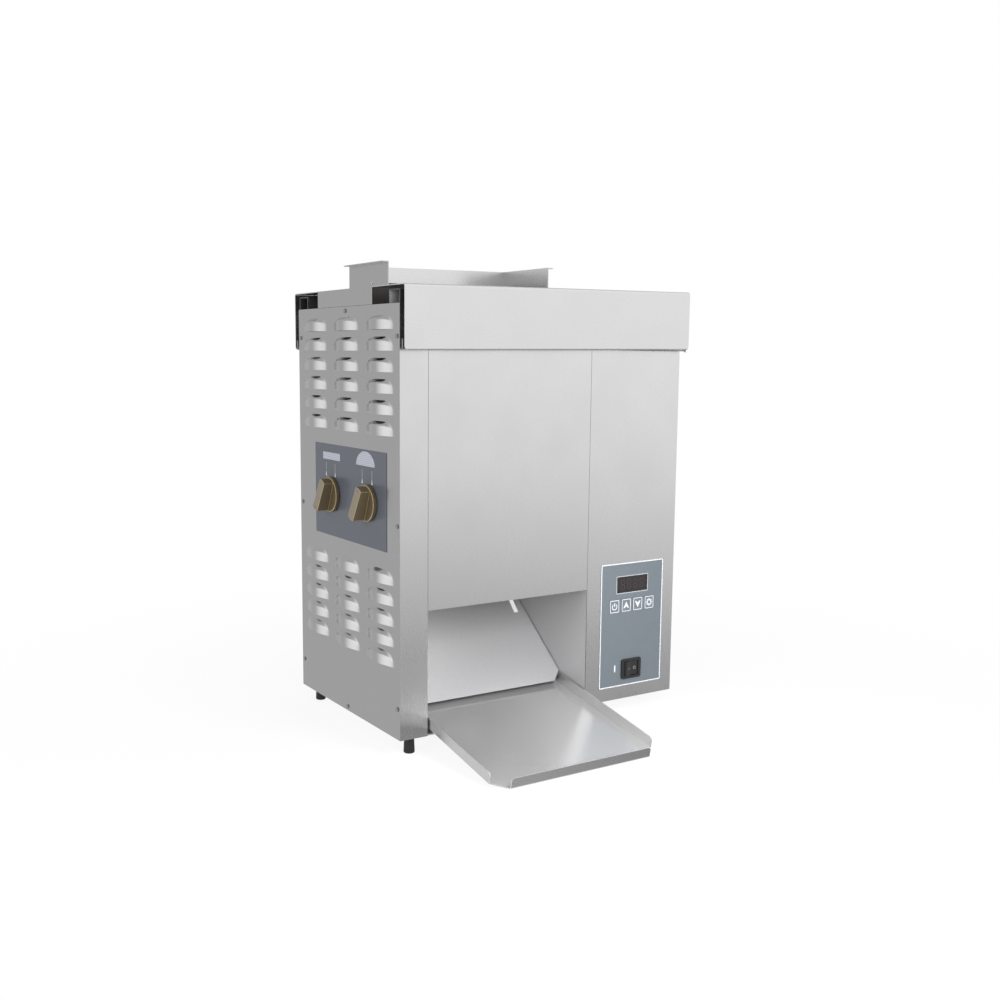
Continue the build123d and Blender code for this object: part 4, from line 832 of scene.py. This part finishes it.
# %% Corners and wall of the cap
CAP_CORNER = 4.5           # rounded lower corners of the long flanges
CORNER_STEPS = 6
for i in range(1, CORNER_STEPS + 1):
    level = cap_z[0] + CAP_CORNER * (1 - math.cos(math.radians(90 * i / CORNER_STEPS)))
    bmesh.ops.bisect_plane(bm, geom=bm.verts[:] + bm.edges[:] + bm.faces[:],
                           plane_co=(0, 0, level), plane_no=(0, 0, 1))
for vert in bm.verts:
    under = max(0.0, cap_z[0] + CAP_CORNER - vert.co.z)
    slide = CAP_CORNER - math.sqrt(CAP_CORNER**2 - min(under, CAP_CORNER) ** 2)
    if abs(vert.co.x - cap_x[0]) < 0.01:
        vert.co.x += slide
    elif abs(vert.co.x - cap_x[1]) < 0.01:
        vert.co.x -= slide
face_towards(bm, lambda spot: spot.y, (0, -1, 0))
thicken(bm, SHEET)
soften(bm, 0.25, 2, 60)
for vert in bm.verts:                   # a bevel at the end of a hem may swell past the flange
    vert.co.y = max(cap_y[0], min(cap_y[1], vert.co.y))
show("cap_sheet", bm, [cap_steel], "cap", ["cap"])

# %% [markdown]
# ## The tray
# The tray is one sheet with three edges turned up and its front corners cut off, and its back
# edge curls over a rod. The floor is a single face. Each edge is spun up through a bend and
# pulled straight, and the free corners are rounded like ears. It is shaped lying level, then
# turned to its slope.

# %% Turned-up edges
TRAY_SHEET, TRAY_EDGE, TRAY_BEND = 1.2, 12.0, 1.0


def edge_between(bm, test):
    """The one edge whose two ends both pass a test."""
    return next(edge for edge in bm.edges if all(test(vert.co) for vert in edge.verts))


def turned_up(bm, edge, centre, axis):
    """Spins an edge up through a bend and pulls it straight. Returns its top corners."""
    last = bmesh.ops.spin(bm, geom=[edge], cent=centre, axis=axis, angle=math.pi / 2, steps=5)["geom_last"]
    edges = [part for part in last if isinstance(part, bmesh.types.BMEdge)]
    pulled = bmesh.ops.extrude_edge_only(bm, edges=edges)["geom"]
    tops = [part for part in pulled if isinstance(part, bmesh.types.BMVert)]
    bmesh.ops.translate(bm, verts=tops, vec=(0, 0, TRAY_EDGE - TRAY_BEND))
    return tops


print("edges turn up by", TRAY_EDGE, "mm")

# %% Tray
TRAY_SLOPE = math.radians(10.955)
TRAY_LENGTH, TRAY_CORNER, TRAY_SETBACK = 198.4, 16.5, 10.0
TRAY_CLEARANCE = 0.05      # between the rod and the sheet that lies on it
EAR = 4.0                  # rounded ends of the turned-up edges
tray_x = limits("tray")[0]
rod_y, rod_z = middle(limits("tray_rod")[1]), middle(limits("tray_rod")[2])
floor_top = (limits("tray_rod")[2][1] - rod_z) + TRAY_CLEARANCE + TRAY_SHEET
sides = (tray_x[0] + TRAY_SHEET + TRAY_BEND, tray_x[1] - TRAY_SHEET - TRAY_BEND)
front = -TRAY_LENGTH + TRAY_SHEET + TRAY_BEND
cut_back = TRAY_CORNER - TRAY_LENGTH

bm = bmesh.new()
drawn(bm, Matrix.Translation((0, 0, floor_top)), [
    (sides[0], 0), (sides[0], cut_back), (tray_x[0] + TRAY_CORNER, front),
    (tray_x[1] - TRAY_CORNER, front), (sides[1], cut_back), (sides[1], 0)])
bend_height = floor_top + TRAY_BEND
left_edge = edge_between(bm, lambda co: abs(co.x - sides[0]) < 0.01)
right_edge = edge_between(bm, lambda co: abs(co.x - sides[1]) < 0.01)
front_edge = edge_between(bm, lambda co: abs(co.y - front) < 0.01)
back_edge = edge_between(bm, lambda co: abs(co.y) < 0.01)
tops = turned_up(bm, left_edge, (sides[0], 0, bend_height), (0, 1, 0))
tops += turned_up(bm, right_edge, (sides[1], 0, bend_height), (0, -1, 0))
lip_tops = turned_up(bm, front_edge, (0, front, bend_height), (-1, 0, 0))
for vert in tops:
    if vert.co.y > -0.01:
        vert.co.y -= TRAY_SETBACK
bmesh.ops.spin(bm, geom=[back_edge], cent=(0, 0, 0), axis=(-1, 0, 0), angle=math.pi / 2, steps=6)
ears = [vert for vert in tops if vert.co.y < cut_back + 1] + lip_tops
bmesh.ops.bevel(bm, geom=ears, offset=EAR, segments=5, affect="VERTICES", profile=0.5, material=-1)
face_towards(bm, lambda spot: abs(spot.y + TRAY_LENGTH / 2) + abs(spot.z - floor_top) * 50, (0, 0, 1))
print("the tray's skin has", len(bm.faces), "faces")

# %% Wall, edges and slope of the tray
thicken(bm, TRAY_SHEET)
# The softened edges take the bright edge steel, as painted highlights along them
for face in soften(bm, 0.3, 2, 60):
    face.material_index = 1
for face in bm.faces:                   # outside, the left edge and the lip are satin like the front
    spot = face.calc_center_median()
    on_left = face.normal.x < -0.9 and spot.x < tray_x[0] + 0.1
    on_front = face.normal.y < -0.9 and spot.y < 0.1 - TRAY_LENGTH
    if on_left or on_front:
        face.material_index = 2
slope = Matrix.Translation((0, rod_y, rod_z)) @ Matrix.Rotation(TRAY_SLOPE, 4, "X")
bmesh.ops.transform(bm, matrix=slope, verts=bm.verts)
show("tray_sheet", bm, [mill_steel, edge_highlight_steel, front_steel], "tray", ["tray"])

# %% [markdown]
# ## Plain sheets
# The posts, the front panel, the back and the inner walls are flat sheets with folded edges,
# and the frame already has their shapes. What a render misses on them is the thin bright line
# along each deburred edge. So a copy of each has its corners bevelled by a fraction of a
# millimetre and takes the place of the sharp one.

# %% Post and control front
for node in ("left_front_post", "control_fascia"):
    dress(node, front_steel, 0.35, 3)

# %% [markdown]
# ## The front panel
# A small tab is bent from the panel's lower edge. It hangs a little further down and is a little
# wider than the frame's plain one. It could be modelled afresh, but the frame's own only has to
# be moved. A point belongs to it if it lies between two sides and under a line that falls along
# the tab, and such points are moved before the edges are softened.

# %% Front panel
TAB_X = (145.0, 152.0)
TAB_ROOT = (6.0, 145.1)                 # depth and height of its bend
TAB_FALL, TAB_MARGIN = 0.3, 0.4         # slope of that line, and how far over the bend it starts
TAB_FRONT = 0.5                         # it starts this far behind the panel's face
TAB_DROP, TAB_SPREAD = 0.2, 1.1
TAB_LENGTH = 17.0
bm = copied("front_panel")
for vert in bm.verts:
    along = TAB_ROOT[0] - vert.co.y
    under_line = vert.co.z < TAB_ROOT[1] - TAB_FALL * along + TAB_MARGIN
    if TAB_X[0] < vert.co.x < TAB_X[1] and under_line:
        vert.co.z -= TAB_DROP * along
        vert.co.y += (TAB_FRONT - TAB_ROOT[0]) * (1 - along / TAB_LENGTH)
        vert.co.x = middle(TAB_X) + (vert.co.x - middle(TAB_X)) * TAB_SPREAD
soften(bm, 0.3)
show("front_panel_finished", bm, [front_steel], "front_panel", ["front_panel"])

# %% [markdown]
# ## The back, the chute and the inner sheets
# The back is as satin as the front. The chute stands a little clear of the walls, which shows
# as a dark line on either side, so its copy is drawn in at both edges. The inner sheets were
# never polished, and the guides over the hot plate are painted near black as painted shade.

# %% Back, chute and inner sheets
CHUTE_CLEARANCE = 0.9
dress("rear_panel", front_steel, 0.3)

bm = copied("chute")
for vert in bm.verts:
    vert.co.x += math.copysign(CHUTE_CLEARANCE, middle(limits("chute")[0]) - vert.co.x)
soften(bm, 0.25)
show("chute_finished", bm, [blasted_steel], "cabinet", ["chute"])

for node in ("left_inner_wall", "right_inner_wall", "base_pan"):
    dress(node, inner_steel, 0.2, 1)
# Painted shade: the guides take the near-black steel
dress("feed_guides", interior_shade_steel, 0.2, 1)

# %% [markdown]
# ## The feeder
# The bevel that deburrs its plates takes a bright finish, as painted highlights along their
# edges. The back wall is painted dark up to a line a little over the lid, as painted shade
# inside the machine. Its copy is cut along that line, and the faces below get the dark finish.

# %% Feeder
# Painted shade reaches this far up the back wall, over the lid
SHADE_LINE_RISE = 7.5            # the mark is this far over the lid
# The left plate takes the side steel's painted shade, and each plate's deburred edges take the bright edge
# steel as painted highlights
for node, steel in (("feeder_left_plate", shaded_side_steel), ("feeder_right_plate", cap_steel)):
    dress(node, steel, 0.35, 3, edge_material=edge_highlight_steel)

shade_line = limits("cap")[2][1] + SHADE_LINE_RISE
bm = copied("feeder_back_wall")
bmesh.ops.bisect_plane(bm, geom=bm.verts[:] + bm.edges[:] + bm.faces[:],
                       plane_co=(0, 0, shade_line), plane_no=(0, 0, 1))
# Painted shade: the faces below the line take the dark steel
for face in bm.faces:
    if face.calc_center_median().z < shade_line:
        face.material_index = 1
show("feeder_back_wall_finished", bm, [cap_steel, interior_shade_steel], "feeder",
     ["feeder_back_wall"])

# %% [markdown]
# ## The top frame, the feet and the pads
# Under the lid's open end two channels carry it, painted near black as painted shade. Their edges
# carry painted highlights, and the inside of the front one's rear web gets the paler inner steel
# as painted light. The rubber feet and pads need only round edges.

# %% Top frame, feet and pads
LIT_WEB_DEPTHS = (22.0, 25.0)  # the front channel's rear web lies between these
top_frame = dress("top_frame", shade_black_zinc, 0.4, edge_material=edge_highlight_steel)
top_frame.data.materials.append(inner_steel)
# Painted light: the web's forward face gets the paler inner steel
for polygon in top_frame.data.polygons:
    spot = to_millimetres @ polygon.center
    if polygon.normal.y < -0.9 and LIT_WEB_DEPTHS[0] < spot.y < LIT_WEB_DEPTHS[1]:
        polygon.material_index = 2
dress("feet", black_rubber, 0.7, 3)
dress("cap_pads", black_rubber, 0.5)

# %% [markdown]
# ## The spacing knobs
# Each knob is moulded in one piece: a round skirt that hides the shaft, and a bar across it
# that two fingers grip. The skirt is a profile spun round the shaft. The bar starts as a disc
# that is cut to a strip on both sides and pulled up, a little narrower at the top as a moulding
# must be to leave its mould. Its face is painted paler as painted light, and its edges, a bead
# round its root and the skirt's rim carry painted gold highlights.

# %% Turned and cut shapes
def turned(bm, profile, steps=64):
    """Spins a profile of (radius, height) points into a closed round shape."""
    before = set(bm.verts)
    verts = [bm.verts.new((radius, 0, height)) for radius, height in profile]
    edges = [bm.edges.new(pair) for pair in zip(verts, verts[1:])]
    bmesh.ops.spin(bm, geom=verts + edges, cent=(0, 0, 0), axis=(0, 0, 1), angle=2 * math.pi,
                   steps=steps, use_merge=True)
    made = [vert for vert in bm.verts if vert not in before]
    bmesh.ops.remove_doubles(bm, verts=made, dist=0.001)


def strip(bm, radius, width, low, high):
    """A disc cut to a strip on both sides and pulled up. Returns the corners of its face."""
    made = bmesh.ops.create_circle(bm, segments=96, radius=radius, cap_ends=True)["verts"]
    for side in (-1, 1):
        parts = made + list({part for vert in made for part in (*vert.link_edges, *vert.link_faces)})
        cut = bmesh.ops.bisect_plane(bm, geom=parts, plane_no=(side, 0, 0),
                                     plane_co=(side * width / 2, 0, 0), clear_outer=True)["geom"]
        made = [part for part in cut if isinstance(part, bmesh.types.BMVert)]
    bmesh.ops.translate(bm, verts=made, vec=(0, 0, low))
    pulled = bmesh.ops.extrude_face_region(bm, geom=made[0].link_faces[:])["geom"]
    raised = [part for part in pulled if isinstance(part, bmesh.types.BMVert)]
    bmesh.ops.translate(bm, verts=raised, vec=(0, 0, high - low))
    return raised


print("helpers for turned and cut shapes ready")

# %% Knobs
SKIRT_RADIUS, SKIRT_HEIGHT = 21.2, 5.0
SKIRT_ROUND = 0.5
SOCKET_RADIUS, SOCKET_DEPTH = 4.05, 1.0
GRIP_RADIUS, GRIP_WIDTH, KNOB_HEIGHT = 19.7, 14.0, 20.0
GRIP_SINK = 0.6            # the bar's root lies this far inside the skirt
GRIP_DRAFT = 0.94          # how much narrower the bar is at its face
FACE_FALL = 3.4            # the face is this much lower at its upper end
BEAD = 0.45                # of the fine bead round the bar's root
KNOB_TILT = math.radians(-22)
MARK_RADIUS, MARK_INSET = 1.1, 3.5      # of the small round mark near one end of the face
KNOB_BACK = -1.1           # behind the skirt, a gap and the label


def face_fall(along):
    """How far the face lies under the knob's height, at a place along the bar."""
    return FACE_FALL * (along / GRIP_RADIUS + 1) / 2


def grip(bm):
    """The bar of a knob. Its face gets the second material, painted light, and its edges the third, painted
    highlights.
    """
    raised = strip(bm, GRIP_RADIUS, GRIP_WIDTH, SKIRT_HEIGHT - GRIP_SINK, KNOB_HEIGHT)
    bmesh.ops.scale(bm, verts=raised, vec=(GRIP_DRAFT, 1, 1))
    for vert in raised:
        vert.co.z -= face_fall(vert.co.y)
    bmesh.ops.recalc_face_normals(bm, faces=bm.faces)
    for face in soften(bm, 0.3, 2, 40):
        face.material_index = 2
    for face in bm.faces:
        if face.normal.z > 0.97:
            face.material_index = 1
    before = set(bm.faces)
    # The bead round the bar's root takes the painted edge highlight too
    strip(bm, GRIP_RADIUS + BEAD, GRIP_WIDTH + 2 * BEAD, SKIRT_HEIGHT - GRIP_SINK, SKIRT_HEIGHT + BEAD)
    for face in bm.faces:
        if face not in before:
            face.material_index = 2


def knob(name, y, z, mark_end):
    """A knob whose shaft is at y, z, shaped upright and then stood against the left side."""
    bm = bmesh.new()
    grip(bm)
    bar_faces = set(bm.faces)
    turned(bm, [
        (0, SOCKET_DEPTH), (SOCKET_RADIUS, SOCKET_DEPTH), (SOCKET_RADIUS, 0),
        (SKIRT_RADIUS - SKIRT_ROUND, 0), (SKIRT_RADIUS, SKIRT_ROUND),
        (SKIRT_RADIUS, SKIRT_HEIGHT - SKIRT_ROUND), (SKIRT_RADIUS - SKIRT_ROUND, SKIRT_HEIGHT),
        (0, SKIRT_HEIGHT)])
    # The skirt's rounded rim takes the painted edge highlight
    highlight_height = SKIRT_HEIGHT - SKIRT_ROUND / 2
    for face in bm.faces:
        if face not in bar_faces and near(face.calc_center_median().z, [highlight_height], 0.2):
            face.material_index = 2
    where = board("left", KNOB_BACK, y, z) @ Matrix.Rotation(KNOB_TILT, 4, "Z")
    bmesh.ops.transform(bm, matrix=where, verts=bm.verts)
    show(name + "_moulding", bm, [knob_nylon, knob_face_painted_light, knob_edge_highlight], name, [name])
    bm = bmesh.new()
    along = mark_end * (GRIP_RADIUS - MARK_INSET)
    height = KNOB_HEIGHT - face_fall(along) + 0.01
    lean = Matrix.Rotation(-math.atan(FACE_FALL / (2 * GRIP_RADIUS)), 4, "X")
    spot = where @ Matrix.Translation((0, along, height)) @ lean
    bmesh.ops.create_circle(bm, segments=20, radius=MARK_RADIUS, cap_ends=True, matrix=spot)
    thicken(bm, 0.06)
    show(name + "_mark", bm, [knob_nylon], name)


for name, (y, z), mark_end in zip(("crown_knob", "heel_knob"), knob_places, (1, -1)):
    knob(name, y, z, mark_end)

# %% [markdown]
# ## Prints
# Screen print is a layer of ink a few hundredths of a millimetre thick. It is modelled as flat
# shapes just proud of the film, so it stays crisp from any distance. The knobs' plate shows
# which half of a bun each one is for, a flat heel or a domed crown, and the keys carry symbols
# that need no language.

# %% Bun pictograms
INK = 0.05                 # a print stands this far off its film, so the two never share a face
INK_LAYER = INK * 0.8
HEEL_PRINT = (45.5, 8.6)
CROWN_PRINT = (45.5, 16.8)
HEEL_SHIFT, CROWN_SHIFT = 1.8, 8        # how far behind its knob's middle each print is
PRINT_BASE = 41.8          # over the knobs' middle
DOME_STEPS = 24
DOME_SHAPE = 1.05          # at 1 the crown would be half an ellipse
label_x = limits("knob_label")[0][0]
(crown_y, crown_z), (heel_y, heel_z) = knob_places

bm = bmesh.new()
heel_board = board("left", label_x - INK, heel_y + HEEL_SHIFT, heel_z)
bar(bm, heel_board, 0, PRINT_BASE + HEEL_PRINT[1] / 2, *HEEL_PRINT)
dome = []
for i in range(DOME_STEPS + 1):
    angle = math.pi * i / DOME_STEPS
    rise = CROWN_PRINT[1] * math.sin(angle) ** DOME_SHAPE
    dome.append((CROWN_PRINT[0] / 2 * math.cos(angle), PRINT_BASE + rise))
crown_board = board("left", label_x - INK, crown_y + CROWN_SHIFT, crown_z)
drawn(bm, crown_board, dome)
thicken(bm, INK_LAYER)
show("bun_pictograms", bm, [pictogram_ink])

# %% Hatching and scale marks
HATCH_PITCH, HATCH_LINE = 2.1, 0.7      # rows of fine lines drawn over both pictograms
HATCH_INSET = 1.6          # a row is this much shorter than the shape
HATCH_SHAPE = 0.95         # how the rows shorten towards the crown's top
bm = bmesh.new()
for print_board, width, height, crown in (
        (heel_board, *HEEL_PRINT, False), (crown_board, *CROWN_PRINT, True)):
    over_print = print_board @ Matrix.Translation((0, 0, INK))
    for row in range(1, int(height / HATCH_PITCH) + 1):
        up = row * HATCH_PITCH - HATCH_PITCH / 3
        share = math.cos(math.asin(min(1, (up / height) ** HATCH_SHAPE))) if crown else 1
        bar(bm, over_print, 0, PRINT_BASE + up, width * share - HATCH_INSET, HATCH_LINE)
thicken(bm, INK_LAYER)
show("pictogram_hatching", bm, [hatching_ink])

MARK_PLACES = (-16, 8)     # to the viewer's right of a knob's middle
MARK_LINE, MARK_TIP = 0.7, 2.8          # widths of a scale line and of its tip by the knob
LINE_MIDDLE, LINE_LENGTH = 32, 11       # over the knob's middle
TIP_LOW, TIP_HIGH = 21.5, 27
bm = bmesh.new()
for y, z in knob_places:
    where = board("left", label_x - INK, y, z)
    for x in MARK_PLACES:
        bar(bm, where, x, LINE_MIDDLE, MARK_LINE, LINE_LENGTH)
        tip = drawn(bm, where, [
            (x - MARK_TIP / 2, TIP_LOW), (x + MARK_TIP / 2, TIP_LOW),
            (x + MARK_LINE / 2, TIP_HIGH), (x - MARK_LINE / 2, TIP_HIGH)])
        tip.material_index = 1
thicken(bm, INK_LAYER)
show("spacing_marks", bm, [pale_ink, white_ink])

# %% [markdown]
# ## The control plate's print
# A white line runs round the plate, a thinner one frames the window, and a stroke beside the
# switch says which way is on. A frame is what stays of a rounded plate once its middle is out.

# %% Prints on the control plate
BORDER_ROUND, BORDER_LINE = 1.6, 1.35
FRAME_ROUND, FRAME_LINE = 1.1, 0.9      # of the frame, which touches the window
STROKE_X, STROKE_RISE = 307.2, 2        # rise is over the switch's middle
STROKE = (2.0, 8.6)
control_x, control_y, control_z = limits("control_label")
window_x, window_y, window_z = limits("display_window")
rocker_x, rocker_y, rocker_z = limits("rocker_housing")
plate_front = control_y[0] - INK
bm = bmesh.new()
outline(bm, board("front", middle(control_x), plate_front, middle(control_z)),
        control_x[1] - control_x[0], control_z[1] - control_z[0], BORDER_ROUND, BORDER_LINE)
border = set(bm.faces)
outline(bm, board("front", middle(window_x), plate_front, middle(window_z)),
        window_x[1] - window_x[0] + 2 * FRAME_LINE, window_z[1] - window_z[0] + 2 * FRAME_LINE,
        FRAME_ROUND, FRAME_LINE)
for face in bm.faces:
    face.material_index = 0 if face in border else 1
bar(bm, board("front", STROKE_X, plate_front, middle(rocker_z)), 0, STROKE_RISE, *STROKE)
thicken(bm, INK_LAYER)
show("control_print", bm, [white_ink, pale_ink])

# %% [markdown]
# ## The keys' symbols
# Each key has a frame and one sign that needs no words: a broken ring with a bar for power, two
# arrow heads for up and down, and a toothed ring for the settings. They are made of bars, rings
# and one drawn outline, and they ride on their keys, so they sink when a key is pressed.

# %% Key symbols
def power_symbol(bm, where):
    """A ring that is open at the top, with a bar in the gap."""
    ring(bm, where, 0, -0.4, radius=3.6, line=1.1, start=125, turn=290, steps=20)
    bar(bm, where, 0, 2.2, width=1.1, height=4.6)


def arrow_symbol(bm, where, way):
    """A solid arrow head with a notched foot. way is 1 for up and -1 for down."""
    points = [(-4.4, -3.6), (0, 4.6), (4.4, -3.6), (2.5, -3.6), (0, -1.2), (-2.5, -3.6)]
    drawn(bm, where, [(x, way * y) for x, y in points])


def gear_symbol(bm, where):
    """A ring with eight teeth."""
    ring(bm, where, 0, 0, radius=2.9, line=1.5)
    for i in range(8):
        tooth = where @ Matrix.Rotation(math.pi / 4 * i, 4, "Z")
        bar(bm, tooth, 0, 4.1, width=1.7, height=1.6)


KEY_FRAME = (14.2, 15.6)
KEY_ROUND, KEY_LINE = 1.6, 0.9
SYMBOLS = {
    "key_power": power_symbol,
    "key_up": lambda bm, where: arrow_symbol(bm, where, 1),
    "key_down": lambda bm, where: arrow_symbol(bm, where, -1),
    "key_settings": gear_symbol,
}
for node, symbol in SYMBOLS.items():
    key_x, key_y, key_z = limits(node)
    where = board("front", middle(key_x), key_y[0] - INK, middle(key_z))
    bm = bmesh.new()
    outline(bm, where, *KEY_FRAME, KEY_ROUND, KEY_LINE)
    symbol(bm, where)
    for face in bm.faces:
        if face.normal.y > 0:
            face.normal_flip()
    thicken(bm, INK_LAYER)
    show(node + "_print", bm, [white_ink], node)

# %% [markdown]
# ## The display
# Behind the smoked window four figures of seven bars wait unlit. They are hardly visible, but
# without them the window is a black hole.

# %% Display
DIGITS, DIGIT_PITCH = 4, 10.0
DIGIT_WIDTH, DIGIT_HEIGHT = 6.4, 12.0
BAR = 1.1
upright = DIGIT_HEIGHT / 2 - 1.6 * BAR  # an upright bar stops just short of the level ones
bm = bmesh.new()
for i in range(DIGITS):
    spot = middle(window_x) + (i - (DIGITS - 1) / 2) * DIGIT_PITCH
    where = board("front", spot, window_y[0] - INK / 2, middle(window_z))
    for level in (-1, 0, 1):
        bar(bm, where, 0, level * (DIGIT_HEIGHT - BAR) / 2, DIGIT_WIDTH - 2 * BAR, BAR)
    for side in (-1, 1):
        for level in (-1, 1):
            bar(bm, where, side * (DIGIT_WIDTH - BAR) / 2, level * DIGIT_HEIGHT / 4, BAR, upright)
thicken(bm, INK / 4)
show("display_figures", bm, [unlit_digits])

# %% [markdown]
# ## The power switch
# A rocker switch snaps into a square hole. Its bezel has generous round corners, and its paddle
# is two slopes that meet in a ridge. The bezel is a rounded plate with its middle set in, and
# the paddle is a softened copy of the frame's own, marked with a line for on and a ring for off.

# %% Rocker switch
BEZEL_ROUND = 2.6
BEZEL_REACH = 14           # only the bezel's own corners lie further than this from its middle
BENT = 0.5                 # radians, and an edge that turns by less is left alone


def round_edges(bm, radius, segments, pick):
    """Bevels only the edges that a test picks."""
    bent = [edge for edge in bm.edges if edge.is_manifold and edge.calc_face_angle(0) > BENT]
    bmesh.ops.bevel(bm, geom=[edge for edge in bent if pick(edge)], offset=radius, segments=segments,
                    affect="EDGES", profile=0.5, material=-1, clamp_overlap=True)


def runs_back(edge):
    """True for an edge that runs straight from front to back."""
    step = edge.verts[0].co - edge.verts[1].co
    return abs(step.x) < 0.01 and abs(step.z) < 0.01


def bezel_corner(edge):
    """True for one of the four outer corners of the bezel."""
    at_front = min(vert.co.y for vert in edge.verts) < rocker_y[0] + 0.1
    far_out = all(abs(vert.co.x - middle(rocker_x)) > BEZEL_REACH for vert in edge.verts)
    return runs_back(edge) and at_front and far_out


bm = copied("rocker_housing")
round_edges(bm, BEZEL_ROUND, 5, bezel_corner)
soften(bm, 0.5, 2)
show("rocker_bezel", bm, [black_nylon], "cabinet", ["rocker_housing"])
dress("rocker_paddle", black_nylon, 0.5, 3)

# %% Marks on the paddle
ON_MARK = (3.4, 0.9)
OFF_RADIUS, OFF_LINE = 1.7, 0.8
bm = copied("rocker_paddle")
forward = [face for face in bm.faces if face.normal.y < -0.8]
slopes = sorted(forward, key=lambda face: -face.calc_area())[:2]
marks = bmesh.new()
for face in slopes:
    across = Vector((0, 0, 1)).cross(face.normal).normalized()
    turn = Matrix((across, face.normal.cross(across), face.normal)).transposed().to_4x4()
    where = Matrix.Translation(face.calc_center_median() + face.normal * INK) @ turn
    if face.calc_center_median().x < middle(rocker_x):
        bar(marks, where, 0, 0, *ON_MARK)
    else:
        ring(marks, where, 0, 0, OFF_RADIUS, OFF_LINE, steps=20)
bm.free()
thicken(marks, INK_LAYER)
show("rocker_marks", marks, [grey_ink], "rocker_paddle")

# %% [markdown]
# ## What keeps the frame's own shape
# The rollers, belts, gears and heaters inside, the films and the keys already have their real
# shapes. They could be copied and softened too, but most are hidden or thinner than a bevel, so
# each only gets its own finish.

# %% Finishes for the parts that keep their shape
# platen_ridge and heat_shields take the near-black steel as painted shade
KEPT = {
    "platen": cast_aluminium, "heater_elements": heater_steel, "release_sheet": release_cloth,
    "platen_brackets": zinc_steel, "platen_ridge": interior_shade_steel, "high_limit_thermostat": zinc_steel,
    "heat_shields": interior_shade_steel, "crown_carrier": zinc_steel, "heel_carrier": zinc_steel,
    "crown_belt": belt_silicone, "heel_belt": belt_silicone,
    "crown_idler_roller": turned_steel, "heel_idler_roller": turned_steel,
    "crown_drive_roller": turned_steel, "heel_drive_roller": turned_steel,
    "shaft_bushes": sintered_bronze, "crown_cam_shaft": turned_steel, "heel_cam_shaft": turned_steel,
    "gear_motor": motor_enamel, "motor_bracket": zinc_steel, "motor_output": gear_steel,
    "crown_drive_gear": gear_steel, "heel_drive_gear": gear_steel, "tray_rod": turned_steel,
    "control_board": board_lacquer, "fan_frame": black_nylon, "fan_rotor": black_nylon,
    "fan_guard": turned_steel, "power_inlet": black_nylon, "panel_screws": dark_screw_steel,
    "knob_label": knob_film, "control_label": control_film, "display_window": smoked_acrylic,
    "key_power": key_film, "key_up": key_film, "key_down": key_film, "key_settings": key_film,
}
for node, material in KEPT.items():
    mesh = frame["nodes"][node].data
    mesh.materials.clear()
    mesh.materials.append(material)
bare = [name for name, node in frame["nodes"].items() if name not in KEPT and not node.hide_render]
print(len(KEPT), "parts keep their shape; without a finish:", bare)

# %% [markdown]
# ## Measure
# The size of all that is shown, without the floor, is printed in millimetres.

# %% Sizes and finish
low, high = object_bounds()
print("size:", [round((b - a) / MM, 1) for a, b in zip(low, high)], "mm")
